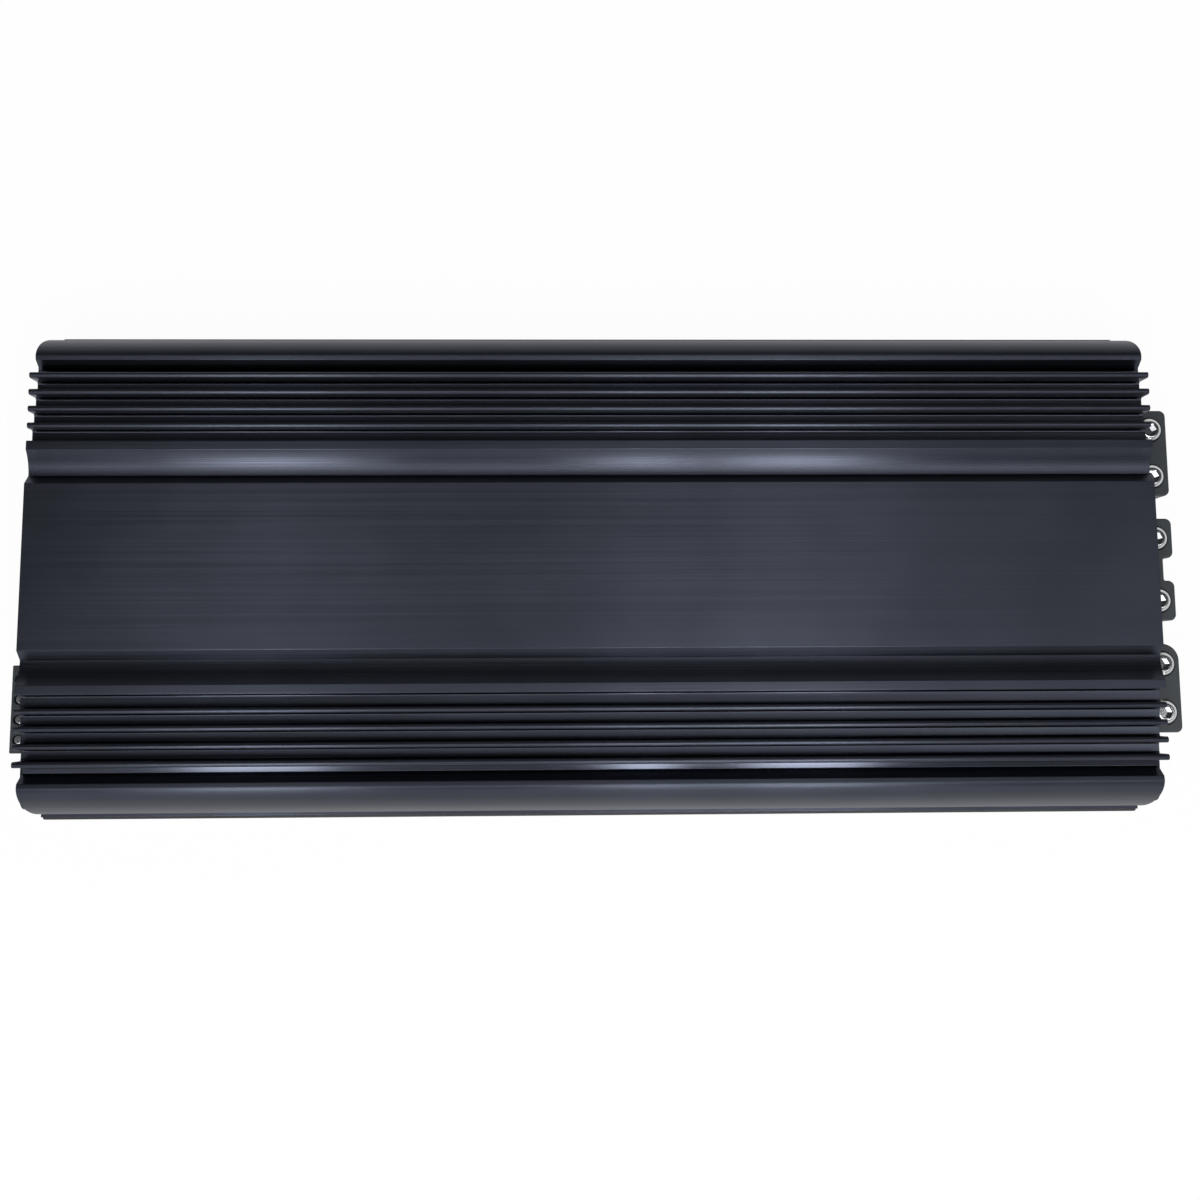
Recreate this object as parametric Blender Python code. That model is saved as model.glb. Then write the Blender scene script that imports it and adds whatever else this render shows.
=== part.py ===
"""Car amplifier: a finned heatsink extrusion on a bottom plate, with terminals at both ends.

+X runs along the amplifier to the power terminals, +Z is up, and the origin is the centre of the
bottom plate's underside. Sizes are in metres, written as millimetres times MM.
"""
import math

import bmesh
import bpy
from mathutils import Matrix, Vector

MM = 0.001

# Clearances
GAP = 0.3 * MM                   # between pieces that rest on, or pass through, each other
CUT_MARGIN = 1.0 * MM            # how far a cutter runs past the face that it opens
HEADROOM_GAP = 2.5 * MM          # between the tallest inner pieces and the bay's roof

# Bottom plate
BOTTOM_PLATE_THICKNESS = 2.5 * MM
BOTTOM_PLATE_LEDGE = 3.0 * MM    # how far the plate stands out past the heatsink's sides

# Heatsink section, from its middle outwards; depths are below the fin tips
HEATSINK_LENGTH = 533.4 * MM
TOP_HEIGHT = 48 * MM             # fin tips above the mounting surface
PLATEAU_WIDTH = 77.8 * MM
PLATEAU_WALL_RUN = 4.3 * MM
COVE_FOOT_DEPTH = 5.2 * MM
COVE_WIDTH = 11.6 * MM
COVE_HOLLOW = 1.3 * MM           # how far the cove's arc dips below its chord
LIP_WIDTH = 4.4 * MM
FIN_COUNT = 4
FIN_THICKNESS = 2.8 * MM
FIN_GAP = 5.24 * MM
LIP_TO_FIN = 6.0 * MM
FLOOR_DEPTH = 7.9 * MM           # of the groove beside the lip
FLOOR_STEP = 1.4 * MM            # each groove further out is this much deeper
VALLEY_DEPTH = 14.4 * MM
VALLEY_FALL_RUN = 3.2 * MM
VALLEY_RISE_RUN = 4.3 * MM
RAIL_CREST_DEPTH = 7.4 * MM
RAIL_EDGE_DROP = 0.3 * MM
RAIL_CREST_RUN = 1.9 * MM
RAIL_ROUND_RUN = 14.2 * MM
SIDE_WALL_TOP = 5.4 * MM         # where the rail's round meets the upright side
RAIL_ROUND_POWER = 1.8           # 2 makes the rail's round an ellipse, less makes it flatter
FLANGE_REACH = 1.7 * MM          # of the foot past the upright side
FLANGE_THICKNESS = 2.0 * MM
LEG_THICKNESS = 12 * MM
BOARD_LEDGE_WIDTH = 3.5 * MM
BOARD_LEDGE_THICKNESS = 2.2 * MM
BOARD_LEDGE_LIFT = 1.5 * MM      # of the ledge's underside above the heatsink's foot
ROOF_THICKNESS = 3.5 * MM        # under the valley, where the roof is thinnest
BAY_WIDTH = 68 * MM              # the taller bay under the plateau
BAY_ROOF_THICKNESS = 8 * MM
ARC_STEPS = 8                    # facets along the cove and the rail's round
TIP_STEPS = 4                    # facets round a fin tip

# End plates
END_PLATE_THICKNESS = 1.2 * MM
END_PLATE_OVERLAP = 1.5 * MM     # how far the plate laps over the roof's end
END_PLATE_INSET = 3.5 * MM       # of the plate's upright edges from the heatsink's sides
END_PLATE_CORNER = 8 * MM

# Button head screws of the end plates, and countersunk screws of the bottom plate
PLATE_SCREW_RADIUS = 1.5 * MM
PLATE_SCREW_LENGTH = 10 * MM
PLATE_SCREW_HEAD_RADIUS = 3.0 * MM
PLATE_SCREW_HEAD_HEIGHT = 1.8 * MM
PLATE_SCREW_SOCKET = 2.0 * MM    # across the hex socket's flats
PLATE_SCREW_WALL = 4.5 * MM      # from the leg's inner face to the screws' axes
PLATE_SCREW_LOW = 7 * MM         # lower screws, above the heatsink's foot
PLATE_SCREW_HIGH = 17 * MM       # upper screws, above the heatsink's foot
BASE_SCREW_INSET = 28 * MM       # of the bottom screws from the heatsink's ends
BASE_SCREW_HEAD_RADIUS = 3.2 * MM
BASE_SCREW_HEAD_HEIGHT = 1.7 * MM
BASE_SCREW_SUNK = 0.3 * MM       # of the head's flat above the plate's underside
BASE_SCREW_LENGTH = 9 * MM

# Circuit boards
BOARD_THICKNESS = 1.6 * MM
BOARD_END_MARGIN = 3 * MM        # of the main board from the heatsink's ends
CONTROL_BOARD_MARGIN = 1.5 * MM  # past the outermost bodies on the control board
CONTROL_BOARD_HEIGHT = 20 * MM
CONTROL_BODY_DEPTH = 8 * MM      # the controls' bodies, between the board and the end plate
CONTROL_BODY_WIDTH = 9.5 * MM

# Power, speaker and ground terminals
WIRE_BORE_RADIUS = 4.4 * MM
WIRE_ENTRY_CLEARANCE = 0.5 * MM  # of the housing's entry round the bar's bore
WIRE_BORE_DEPTH = 17.5 * MM
BAR_WALL = 1.5 * MM              # metal below the wire bore
BAR_CAP = 2.6 * MM               # threaded metal above the wire bore
BAR_SIDE = 7.2 * MM              # from the outer way's axis to the bar's side
BAR_REACH_IN = 13 * MM           # from the heatsink's end into the bay
COLLAR_WALL = 1.2 * MM
COLLAR_REACH_IN = 1.0 * MM
HOUSING_FRONT_WALL = 1.9 * MM
HOUSING_LIFT = 4.6 * MM          # of the housing's underside above the mounting surface
HOUSING_HEIGHT = 21.9 * MM
HOUSING_SIDE = 9.7 * MM          # from the outer way's axis to the housing's side
HOUSING_CORNER = 3.0 * MM
HOUSING_LARGE_CORNER = 8.0 * MM
SPEAKER_WEB_SETBACK = 5 * MM     # of the web between the speaker towers from their fronts
SPEAKER_TOWER_HALF = 9.7 * MM
TERMINAL_CENTRE = -1.5 * MM      # of the speaker terminal from the amplifier's middle
DUAL_OFFSET = 57.3 * MM          # of the power and ground terminals from the speaker terminal
DUAL_PITCH = 23.1 * MM
SPEAKER_PITCH = 30.4 * MM
SET_SCREW_BACK_WALL = 0.0 * MM   # of the housing, from the end plate's outer face to the screw's hole
SET_SCREW_FRONT_WALL = 2.4 * MM  # of the housing, from the set screw's hole to the front
SET_SCREW_RADIUS = 4.0 * MM
SET_SCREW_HEAD_RADIUS = 5.5 * MM
SET_SCREW_HEAD_HEIGHT = 3.6 * MM
SET_SCREW_CROWN = 1.6 * MM       # of the head's height, the part that is rounded
SET_SCREW_SOCKET = 5.0 * MM      # across the hex socket's flats
SET_SCREW_SOCKET_DEPTH = 3.2 * MM
SET_SCREW_PROUD = 2.2 * MM       # of the head above the housing, as backed out at rest
SET_SCREW_HOLE_CLEARANCE = 0.4 * MM
CLAMP_PAD_THICKNESS = 1.2 * MM
CLAMP_PAD_RADIUS = 3.7 * MM
CLAMP_PAD_LIFT = 0.3 * MM        # of the pad above the wire bore's top

# Input terminal block
INPUT_WAYS = 4
INPUT_PITCH = 9.5 * MM
INPUT_SPACING = 19 * MM          # from the remote jack's middle to the block's nearer side
INPUT_SIDE_WALL = 1.7 * MM
INPUT_REACH = 8.9 * MM
INPUT_LIFT = 7 * MM
INPUT_HEIGHT = 15.3 * MM
INPUT_COLLAR_INSET = 2 * MM      # of the part that passes the end plate, from the block's outline
INPUT_ENTRY_WIDTH = 6.2 * MM
INPUT_ENTRY_HEIGHT = 6.0 * MM
INPUT_ENTRY_LIFT = 2.0 * MM
INPUT_ENTRY_DEPTH = 6.5 * MM
INPUT_SCREW_SETBACK = 3.8 * MM
INPUT_SCREW_RADIUS = 2.1 * MM
INPUT_SCREW_HEIGHT = 5.0 * MM
INPUT_SCREW_SUNK = 0.8 * MM
INPUT_SCREW_SLOT = 0.7 * MM

# Signal jacks, remote jack, controls and lamp on the input end plate, spaced along Y
JACK_LIFT = 19.5 * MM            # axes of the jacks and controls above the mounting surface
JACK_PITCH = 18 * MM
JACK_SPACING = 14 * MM           # from the lamp to the nearer signal jack
JACK_RADIUS = 4.15 * MM
JACK_BORE_RADIUS = 1.7 * MM
JACK_BORE_DEPTH = 6.5 * MM
JACK_REACH = 6.5 * MM
JACK_SHOULDER_RADIUS = 5.6 * MM
JACK_SHOULDER_REACH = 1.6 * MM
JACK_HOUSING_DEPTH = 13 * MM
JACK_HOUSING_SIDE = 8 * MM
REMOTE_SPACING = 16 * MM         # from the further signal jack to the remote jack
REMOTE_WIDTH = 13.4 * MM
REMOTE_HEIGHT = 12 * MM
REMOTE_DEPTH = 13 * MM
REMOTE_PROUD = 0.8 * MM
REMOTE_WALL = 1.7 * MM
REMOTE_PORT_DEPTH = 11 * MM
CONTROL_NAMES = ("gain_control", "low_pass_control", "subsonic_control", "bass_boost_control")
CONTROL_FIRST = 88 * MM
CONTROL_PITCH = 14 * MM
CONTROL_RADIUS = 3.0 * MM
CONTROL_PROUD = 1.4 * MM
CONTROL_SLOT_WIDTH = 1.0 * MM
CONTROL_SLOT_DEPTH = 0.9 * MM
SWITCH_SPACING = 14 * MM         # from the last control to the switch
SWITCH_TRAVEL = 3.0 * MM
SWITCH_TAB_WIDTH = 3.0 * MM
SWITCH_TAB_HEIGHT = 2.6 * MM
SWITCH_PROUD = 1.8 * MM
LAMP_SPACING = 10 * MM           # from the switch to the lamp
LAMP_RADIUS = 1.5 * MM
LAMP_PROUD = 0.4 * MM

# Power stage on the main board
TRANSISTORS_PER_SIDE = 8
TRANSISTOR_PITCH = 44 * MM
TRANSISTOR_WIDTH = 15.8 * MM
TRANSISTOR_THICKNESS = 5 * MM
CLAMP_BAR_WIDTH = 7 * MM
CLAMP_BAR_HEIGHT = 8 * MM
CLAMP_BAR_LIFT = 6 * MM          # above the main board
CLAMP_BAR_OVERHANG = 12 * MM     # past the outermost transistors
TRANSFORMER_CENTRES = ((95 * MM, 46 * MM), (95 * MM, -46 * MM))
TRANSFORMER_RADIUS = 31 * MM
TRANSFORMER_HOLE = 12 * MM
INDUCTOR_CENTRE = (-70 * MM, 0.0)
INDUCTOR_RADIUS = 26 * MM
INDUCTOR_HOLE = 10 * MM
COIL_CORNER = 4 * MM
CAPACITOR_CENTRES = ((195 * MM, 34 * MM), (195 * MM, 0.0), (195 * MM, -34 * MM))
CAPACITOR_RADIUS = 12.5 * MM

# Heights and lengths that follow from the sizes above
HALF_LENGTH = HEATSINK_LENGTH / 2
FOOT = BOTTOM_PLATE_THICKNESS + GAP
FIN_PITCH = FIN_THICKNESS + FIN_GAP
FIN_START = PLATEAU_WIDTH / 2 + PLATEAU_WALL_RUN + COVE_WIDTH + LIP_WIDTH + LIP_TO_FIN
FIN_END = FIN_START + FIN_COUNT * FIN_PITCH - FIN_GAP
RAIL_START = FIN_END + VALLEY_FALL_RUN + VALLEY_RISE_RUN
SIDE = RAIL_START + RAIL_CREST_RUN + RAIL_ROUND_RUN
LEG_INNER = SIDE - LEG_THICKNESS
ROOF = TOP_HEIGHT - VALLEY_DEPTH - ROOF_THICKNESS
BOARD_LEDGE_TOP = FOOT + BOARD_LEDGE_LIFT + BOARD_LEDGE_THICKNESS
BOARD_BOTTOM = BOARD_LEDGE_TOP + GAP
BOARD_TOP = BOARD_BOTTOM + BOARD_THICKNESS
HEADROOM = ROOF - HEADROOM_GAP - BOARD_TOP
PLATE_INNER = HALF_LENGTH + GAP
PLATE_OUTER = PLATE_INNER + END_PLATE_THICKNESS
PLATE_SCREW_Y = LEG_INNER + PLATE_SCREW_WALL
PLATE_SCREW_HEIGHTS = (FOOT + PLATE_SCREW_LOW, FOOT + PLATE_SCREW_HIGH)
HOUSING_BACK = HALF_LENGTH + GAP
SET_SCREW_HOLE_RADIUS = SET_SCREW_HEAD_RADIUS + SET_SCREW_HOLE_CLEARANCE
SET_SCREW_X = PLATE_OUTER + SET_SCREW_BACK_WALL + SET_SCREW_HOLE_RADIUS
HOUSING_FRONT = SET_SCREW_X + SET_SCREW_HOLE_RADIUS + SET_SCREW_FRONT_WALL
HOUSING_TOP = HOUSING_LIFT + HOUSING_HEIGHT
BAR_BACK = HALF_LENGTH - BAR_REACH_IN
BAR_FRONT = HOUSING_FRONT - HOUSING_FRONT_WALL - GAP
BAR_BOTTOM = BOARD_TOP + GAP
WIRE_AXIS_HEIGHT = BAR_BOTTOM + BAR_WALL + WIRE_BORE_RADIUS
BAR_TOP = WIRE_AXIS_HEIGHT + WIRE_BORE_RADIUS + BAR_CAP
CLAMP_PAD_BOTTOM = WIRE_AXIS_HEIGHT + WIRE_BORE_RADIUS + CLAMP_PAD_LIFT
SET_SCREW_TIP = CLAMP_PAD_BOTTOM + CLAMP_PAD_THICKNESS + GAP
SET_SCREW_TOP = HOUSING_TOP + SET_SCREW_PROUD
SET_SCREW_HEAD_BOTTOM = SET_SCREW_TOP - SET_SCREW_HEAD_HEIGHT
INPUT_WIDTH = INPUT_WAYS * INPUT_PITCH + 2 * INPUT_SIDE_WALL
INPUT_TOP = INPUT_LIFT + INPUT_HEIGHT
INPUT_FRONT = PLATE_OUTER + INPUT_REACH
CONTROL_FRONT = PLATE_INNER - GAP
CONTROL_BOARD_X = CONTROL_FRONT - CONTROL_BODY_DEPTH
CONTROL_CENTRES = [CONTROL_FIRST - i * CONTROL_PITCH for i in range(len(CONTROL_NAMES))]
SWITCH_CENTRE = CONTROL_CENTRES[-1] - SWITCH_SPACING
LAMP_CENTRE = SWITCH_CENTRE - LAMP_SPACING
JACK_CENTRES = (LAMP_CENTRE - JACK_SPACING, LAMP_CENTRE - JACK_SPACING - JACK_PITCH)
REMOTE_CENTRE = JACK_CENTRES[-1] - REMOTE_SPACING
INPUT_CENTRE = REMOTE_CENTRE - INPUT_SPACING - INPUT_WIDTH / 2

# The terminals: name, then the axes of their ways along Y
TERMINAL_WAYS = {
    name: (TERMINAL_CENTRE + offset + pitch / 2, TERMINAL_CENTRE + offset - pitch / 2)
    for name, offset, pitch in (("power", DUAL_OFFSET, DUAL_PITCH), ("speaker", 0, SPEAKER_PITCH),
                                ("ground", -DUAL_OFFSET, DUAL_PITCH))
}

# Finishes: base colour, roughness and metallic value
FINISHES = {
    "anodised_aluminium": ((0.030, 0.036, 0.050), 0.38, 0.9),
    "black_steel_sheet": ((0.018, 0.019, 0.022), 0.5, 0.6),
    "moulded_grey_plastic": ((0.035, 0.040, 0.042), 0.55, 0.0),
    "black_plastic": ((0.010, 0.010, 0.011), 0.5, 0.0),
    "chromed_steel": ((0.75, 0.75, 0.76), 0.12, 1.0),
    "nickel_plated_brass": ((0.62, 0.58, 0.50), 0.25, 1.0),
    "black_zinc_screw": ((0.02, 0.02, 0.022), 0.4, 0.8),
    "green_board": ((0.010, 0.090, 0.035), 0.5, 0.0),
    "wound_copper": ((0.50, 0.20, 0.07), 0.35, 0.9),
    "capacitor_sleeve": ((0.015, 0.015, 0.018), 0.35, 0.0),
    "plain_aluminium": ((0.60, 0.61, 0.62), 0.35, 1.0),
    "blue_lens": ((0.05, 0.18, 0.75), 0.1, 0.0),
}


def finish(name):
    """Material of a named finish, made the first time that it is asked for."""
    material = bpy.data.materials.get(name)
    if material is None:
        colour, roughness, metallic = FINISHES[name]
        material = bpy.data.materials.new(name)
        material.use_nodes = True
        shader = material.node_tree.nodes["Principled BSDF"]
        shader.inputs["Base Color"].default_value = (*colour, 1.0)
        shader.inputs["Roughness"].default_value = roughness
        shader.inputs["Metallic"].default_value = metallic
    return material


def add_object(name, shape, finish_name=None, location=(0, 0, 0), smooth=False):
    """Object from a bmesh, with its faces turned outwards."""
    bmesh.ops.recalc_face_normals(shape, faces=shape.faces)
    mesh = bpy.data.meshes.new(name)
    shape.to_mesh(mesh)
    shape.free()
    if finish_name:
        mesh.materials.append(finish(finish_name))
    if smooth:
        mesh.shade_smooth()
        mesh.set_sharp_from_angle(angle=math.radians(35))
    item = bpy.data.objects.new(name, mesh)
    item.location = location
    bpy.context.scene.collection.objects.link(item)
    return item


def arc(start, end, rise, steps):
    """Points from start to end on an arc that bulges by rise to the left of the way it runs."""
    start = Vector(start)
    end = Vector(end)
    chord = end - start
    radius = (chord.length ** 2 / 4 + rise ** 2) / (2 * abs(rise))
    bulge = Vector((-chord.y, chord.x)).normalized() * math.copysign(1, rise)
    centre = (start + end) / 2 + bulge * (abs(rise) - radius)
    turn = -math.copysign(2 * math.asin(min(1.0, chord.length / 2 / radius)), rise)
    spoke = start - centre
    return [centre + Matrix.Rotation(turn * i / steps, 2) @ spoke for i in range(steps + 1)]


def rounded_outline(low, high, radii, steps=4):
    """Rectangle from corner low to corner high; radii go anticlockwise from the low corner."""
    corners = ((low[0], low[1]), (high[0], low[1]), (high[0], high[1]), (low[0], high[1]))
    points = []
    for i, radius in enumerate(radii):
        corner = Vector(corners[i])
        if radius == 0:
            points.append(corner)
            continue
        before = (Vector(corners[i - 1]) - corner).normalized()
        after = (Vector(corners[(i + 1) % 4]) - corner).normalized()
        sagitta = radius * (1 - math.sqrt(0.5))
        points += arc(corner + before * radius, corner + after * radius, -sagitta, steps)
    return points


def prism(outline, start, end, axis):
    """Bmesh of a flat outline carried from start to end along X or Z."""
    shape = bmesh.new()
    if axis == "X":
        corners = [shape.verts.new((start, u, v)) for u, v in outline]
        step = Vector((end - start, 0, 0))
    else:
        corners = [shape.verts.new((u, v, start)) for u, v in outline]
        step = Vector((0, 0, end - start))
    face = shape.faces.new(corners)
    swept = bmesh.ops.extrude_face_region(shape, geom=[face])
    moved = [item for item in swept["geom"] if isinstance(item, bmesh.types.BMVert)]
    bmesh.ops.translate(shape, verts=moved, vec=step)
    return shape


def block(low, high):
    """Bmesh of a box between two corners."""
    outline = rounded_outline(low[:2], high[:2], (0, 0, 0, 0))
    return prism(outline, low[2], high[2], "Z")


def turned(profile, segments, closed=False):
    """Bmesh of a profile of (radius, height) points turned about Z; a closed one makes a ring."""
    shape = bmesh.new()
    angles = [2 * math.pi * i / segments for i in range(segments)]
    rings = []
    for radius, height in profile:
        if radius == 0:
            rings.append([shape.verts.new((0, 0, height))])
        else:
            rings.append([shape.verts.new((radius * math.cos(a), radius * math.sin(a), height))
                          for a in angles])
    pairs = list(zip(rings, rings[1:]))
    if closed:
        pairs.append((rings[-1], rings[0]))
    for upper, lower in pairs:
        for i in range(segments):
            j = (i + 1) % segments
            corners = (upper[i % len(upper)], lower[i % len(lower)],
                       lower[j % len(lower)], upper[j % len(upper)])
            shape.faces.new(list(dict.fromkeys(corners)))
    return shape


def rod(radius, start, end, segments=20):
    """Bmesh of a cylinder about Z between two heights."""
    return turned(((0, end), (radius, end), (radius, start), (0, start)), segments)


def hexagon(flats, start, end):
    """Bmesh of a hexagonal bar about Z, given across its flats."""
    return rod(flats / math.sqrt(3), start, end, 6)


def placed(shape, location, direction="Z"):
    """The shape moved to a location, with its own Z turned to +X or -X if asked."""
    turns = {"Z": 0, "X": math.pi / 2, "-X": -math.pi / 2}
    turn = Matrix.Rotation(turns[direction], 3, "Y")
    bmesh.ops.rotate(shape, verts=shape.verts, cent=(0, 0, 0), matrix=turn)
    bmesh.ops.translate(shape, verts=shape.verts, vec=location)
    return shape


def gathered(shapes):
    """One bmesh that holds all the shapes, none of which overlap."""
    whole = bmesh.new()
    for shape in shapes:
        bmesh.ops.recalc_face_normals(shape, faces=shape.faces)
        part = bpy.data.meshes.new("part")
        shape.to_mesh(part)
        shape.free()
        whole.from_mesh(part)
        bpy.data.meshes.remove(part)
    return whole


def combine(item, shape, operation):
    """Join a bmesh to an object, or cut it away, with a Boolean that is applied."""
    tool = add_object("tool", shape)
    modifier = item.modifiers.new("combine", "BOOLEAN")
    modifier.operation = operation
    modifier.solver = "EXACT"
    modifier.object = tool
    graph = bpy.context.evaluated_depsgraph_get()
    result = bpy.data.meshes.new_from_object(item.evaluated_get(graph))
    item.modifiers.clear()
    item.data = result
    bpy.data.objects.remove(tool)


def cut(item, shapes):
    """Cut shapes that don't overlap each other out of an object."""
    combine(item, gathered(shapes), "DIFFERENCE")


def heatsink_half_section():
    """Section of the +Y half: over the fins, down to the foot, up the leg and along the bay's roof."""
    top = TOP_HEIGHT
    edge = PLATEAU_WIDTH / 2
    cove_foot = (edge + PLATEAU_WALL_RUN, top - COVE_FOOT_DEPTH)
    cove_lip = (cove_foot[0] + COVE_WIDTH, top)
    points = [(edge, top)]
    points += arc(cove_foot, cove_lip, -COVE_HOLLOW, ARC_STEPS)
    points.append((cove_lip[0] + LIP_WIDTH, top))
    points.append((cove_lip[0] + LIP_WIDTH, top - FLOOR_DEPTH))
    for i in range(FIN_COUNT):
        near = FIN_START + i * FIN_PITCH
        far = near + FIN_THICKNESS
        shoulder = top - FIN_THICKNESS / 2
        points.append((near, top - FLOOR_DEPTH - i * FLOOR_STEP))
        points += arc((near, shoulder), (far, shoulder), FIN_THICKNESS / 2, TIP_STEPS)
        points.append((far, top - FLOOR_DEPTH - (i + 1) * FLOOR_STEP))
    crest = top - RAIL_CREST_DEPTH
    points.append((FIN_END + VALLEY_FALL_RUN, top - VALLEY_DEPTH))
    points.append((RAIL_START, crest - RAIL_EDGE_DROP))
    for i in range(ARC_STEPS + 1):
        angle = math.pi / 2 * i / ARC_STEPS
        run = RAIL_ROUND_RUN * (1 - max(0, math.sin(angle)) ** (2 / RAIL_ROUND_POWER))
        drop = (crest - SIDE_WALL_TOP) * max(0, math.cos(angle)) ** (2 / RAIL_ROUND_POWER)
        points.append((SIDE - run, SIDE_WALL_TOP + drop))
    points.append((SIDE, FOOT + FLANGE_THICKNESS))
    points.append((SIDE + FLANGE_REACH, FOOT + FLANGE_THICKNESS))
    points.append((SIDE + FLANGE_REACH, FOOT))
    points.append((LEG_INNER, FOOT))
    points.append((LEG_INNER, FOOT + BOARD_LEDGE_LIFT))
    points.append((LEG_INNER - BOARD_LEDGE_WIDTH, FOOT + BOARD_LEDGE_LIFT))
    points.append((LEG_INNER - BOARD_LEDGE_WIDTH, BOARD_LEDGE_TOP))
    points.append((LEG_INNER, BOARD_LEDGE_TOP))
    points.append((LEG_INNER, ROOF))
    points.append((BAY_WIDTH / 2, ROOF))
    points.append((BAY_WIDTH / 2, top - BAY_ROOF_THICKNESS))
    return points


def plate_screw_places():
    """Where the four screws of an end plate go, as (Y, Z)."""
    return [(y, z) for y in (PLATE_SCREW_Y, -PLATE_SCREW_Y) for z in PLATE_SCREW_HEIGHTS]


def base_screw_places():
    """Where the four screws of the bottom plate go, as (X, Y)."""
    reach = HALF_LENGTH - BASE_SCREW_INSET
    return [(x, y) for x in (reach, -reach) for y in (PLATE_SCREW_Y, -PLATE_SCREW_Y)]


def build_heatsink():
    """Extruded body, with blind holes for the screws of the end plates and the bottom plate."""
    half = heatsink_half_section()
    section = half + [(-y, z) for y, z in reversed(half)]
    body = add_object("heatsink_body", prism(section, -HALF_LENGTH, HALF_LENGTH, "X"),
                      "anodised_aluminium")
    hole = PLATE_SCREW_RADIUS + GAP
    depth = PLATE_SCREW_LENGTH + GAP
    holes = []
    for y, z in plate_screw_places():
        holes.append(placed(rod(hole, -CUT_MARGIN, depth, 12), (-HALF_LENGTH, y, z), "X"))
        holes.append(placed(rod(hole, -depth, CUT_MARGIN, 12), (HALF_LENGTH, y, z), "X"))
    for x, y in base_screw_places():
        holes.append(placed(rod(hole, -CUT_MARGIN, BASE_SCREW_LENGTH, 12), (x, y, FOOT)))
    cut(body, holes)


def countersunk_profile(grow):
    """Profile of a countersunk screw from its tip down to its head, grown all round by grow."""
    shoulder = BASE_SCREW_SUNK + BASE_SCREW_HEAD_HEIGHT
    return ((PLATE_SCREW_RADIUS + grow, shoulder),
            (BASE_SCREW_HEAD_RADIUS + grow, BASE_SCREW_SUNK))


def build_bottom_plate():
    """Flat sheet that closes the heatsink, with countersunk holes for its screws."""
    reach_y = SIDE + BOTTOM_PLATE_LEDGE
    plate = add_object("bottom_plate", block((-HALF_LENGTH, -reach_y, 0),
                                             (HALF_LENGTH, reach_y, BOTTOM_PLATE_THICKNESS)),
                       "black_steel_sheet")
    neck, rim = countersunk_profile(GAP)
    top = BOTTOM_PLATE_THICKNESS + CUT_MARGIN
    profile = ((0, top), (neck[0], top), neck, rim, (rim[0], -CUT_MARGIN), (0, -CUT_MARGIN))
    cut(plate, [placed(turned(profile, 16), (x, y, 0)) for x, y in base_screw_places()])


def build_base_screws():
    """Countersunk screws, sunk just below the bottom plate's underside."""
    neck, rim = countersunk_profile(0)
    tip = FOOT + BASE_SCREW_LENGTH - GAP
    profile = ((0, tip), (neck[0], tip), neck, rim, (0, rim[1]))
    for i, (x, y) in enumerate(base_screw_places()):
        screw = add_object(f"bottom_plate_screw_{i + 1}", turned(profile, 16), "black_zinc_screw",
                           (x, y, 0), True)
        socket_top = BASE_SCREW_SUNK + BASE_SCREW_HEAD_HEIGHT / 2
        cut(screw, [hexagon(PLATE_SCREW_SOCKET, -CUT_MARGIN, socket_top)])


def end_plate_outline():
    """Outline of an end plate, as (Y, Z): a low plate with a tongue that closes the tall bay."""
    reach = SIDE - END_PLATE_INSET
    shoulder = ROOF + END_PLATE_OVERLAP
    tongue = BAY_WIDTH / 2 + END_PLATE_OVERLAP
    tip = TOP_HEIGHT - BAY_ROOF_THICKNESS + END_PLATE_OVERLAP
    sides = rounded_outline((-reach, FOOT), (reach, shoulder), (0, 0, END_PLATE_CORNER, END_PLATE_CORNER))
    middle = len(sides) // 2 + 1
    step = [(tongue, shoulder), (tongue, tip), (-tongue, tip), (-tongue, shoulder)]
    return sides[:middle] + step + sides[middle:]


def build_end_plate(name, side, openings):
    """Flat plate over one end of the heatsink; side is 1 or -1, openings are bmeshes to cut."""
    outline = end_plate_outline()
    plate = add_object(name, prism(outline, side * PLATE_INNER, side * PLATE_OUTER, "X"),
                       "anodised_aluminium")
    through = END_PLATE_THICKNESS + 2 * CUT_MARGIN
    start = side * (PLATE_INNER + PLATE_OUTER) / 2 - through / 2
    holes = [placed(rod(PLATE_SCREW_RADIUS + GAP, 0, through, 12), (start, y, z), "X")
             for y, z in plate_screw_places()]
    cut(plate, holes + openings)


def build_plate_screws(name, side):
    """Button head screws of one end plate, heads outwards."""
    head = PLATE_SCREW_HEAD_RADIUS
    base = GAP
    top = base + PLATE_SCREW_HEAD_HEIGHT
    crown = arc((0, top), (head, base), PLATE_SCREW_HEAD_HEIGHT / 4, 3)
    tip = -END_PLATE_THICKNESS - PLATE_SCREW_LENGTH
    profile = crown + [(PLATE_SCREW_RADIUS, base), (PLATE_SCREW_RADIUS, tip), (0, tip)]
    profile[0] = (0, top)
    outwards = "X" if side > 0 else "-X"
    for i, (y, z) in enumerate(plate_screw_places()):
        shape = placed(turned(profile, 12), (0, 0, 0), outwards)
        screw = add_object(f"{name}_{i + 1}", shape, "black_zinc_screw", (side * PLATE_OUTER, y, z), True)
        socket = hexagon(PLATE_SCREW_SOCKET, base + PLATE_SCREW_HEAD_HEIGHT / 3, top + CUT_MARGIN)
        cut(screw, [placed(socket, (0, 0, 0), outwards)])


def bar_spans(name, ways):
    """Spans along Y of a terminal's metal bars: one for each speaker way, else one for both ways."""
    if name == "speaker":
        return [(way - BAR_SIDE, way + BAR_SIDE) for way in ways]
    return [(ways[1] - BAR_SIDE, ways[0] + BAR_SIDE)]


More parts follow.
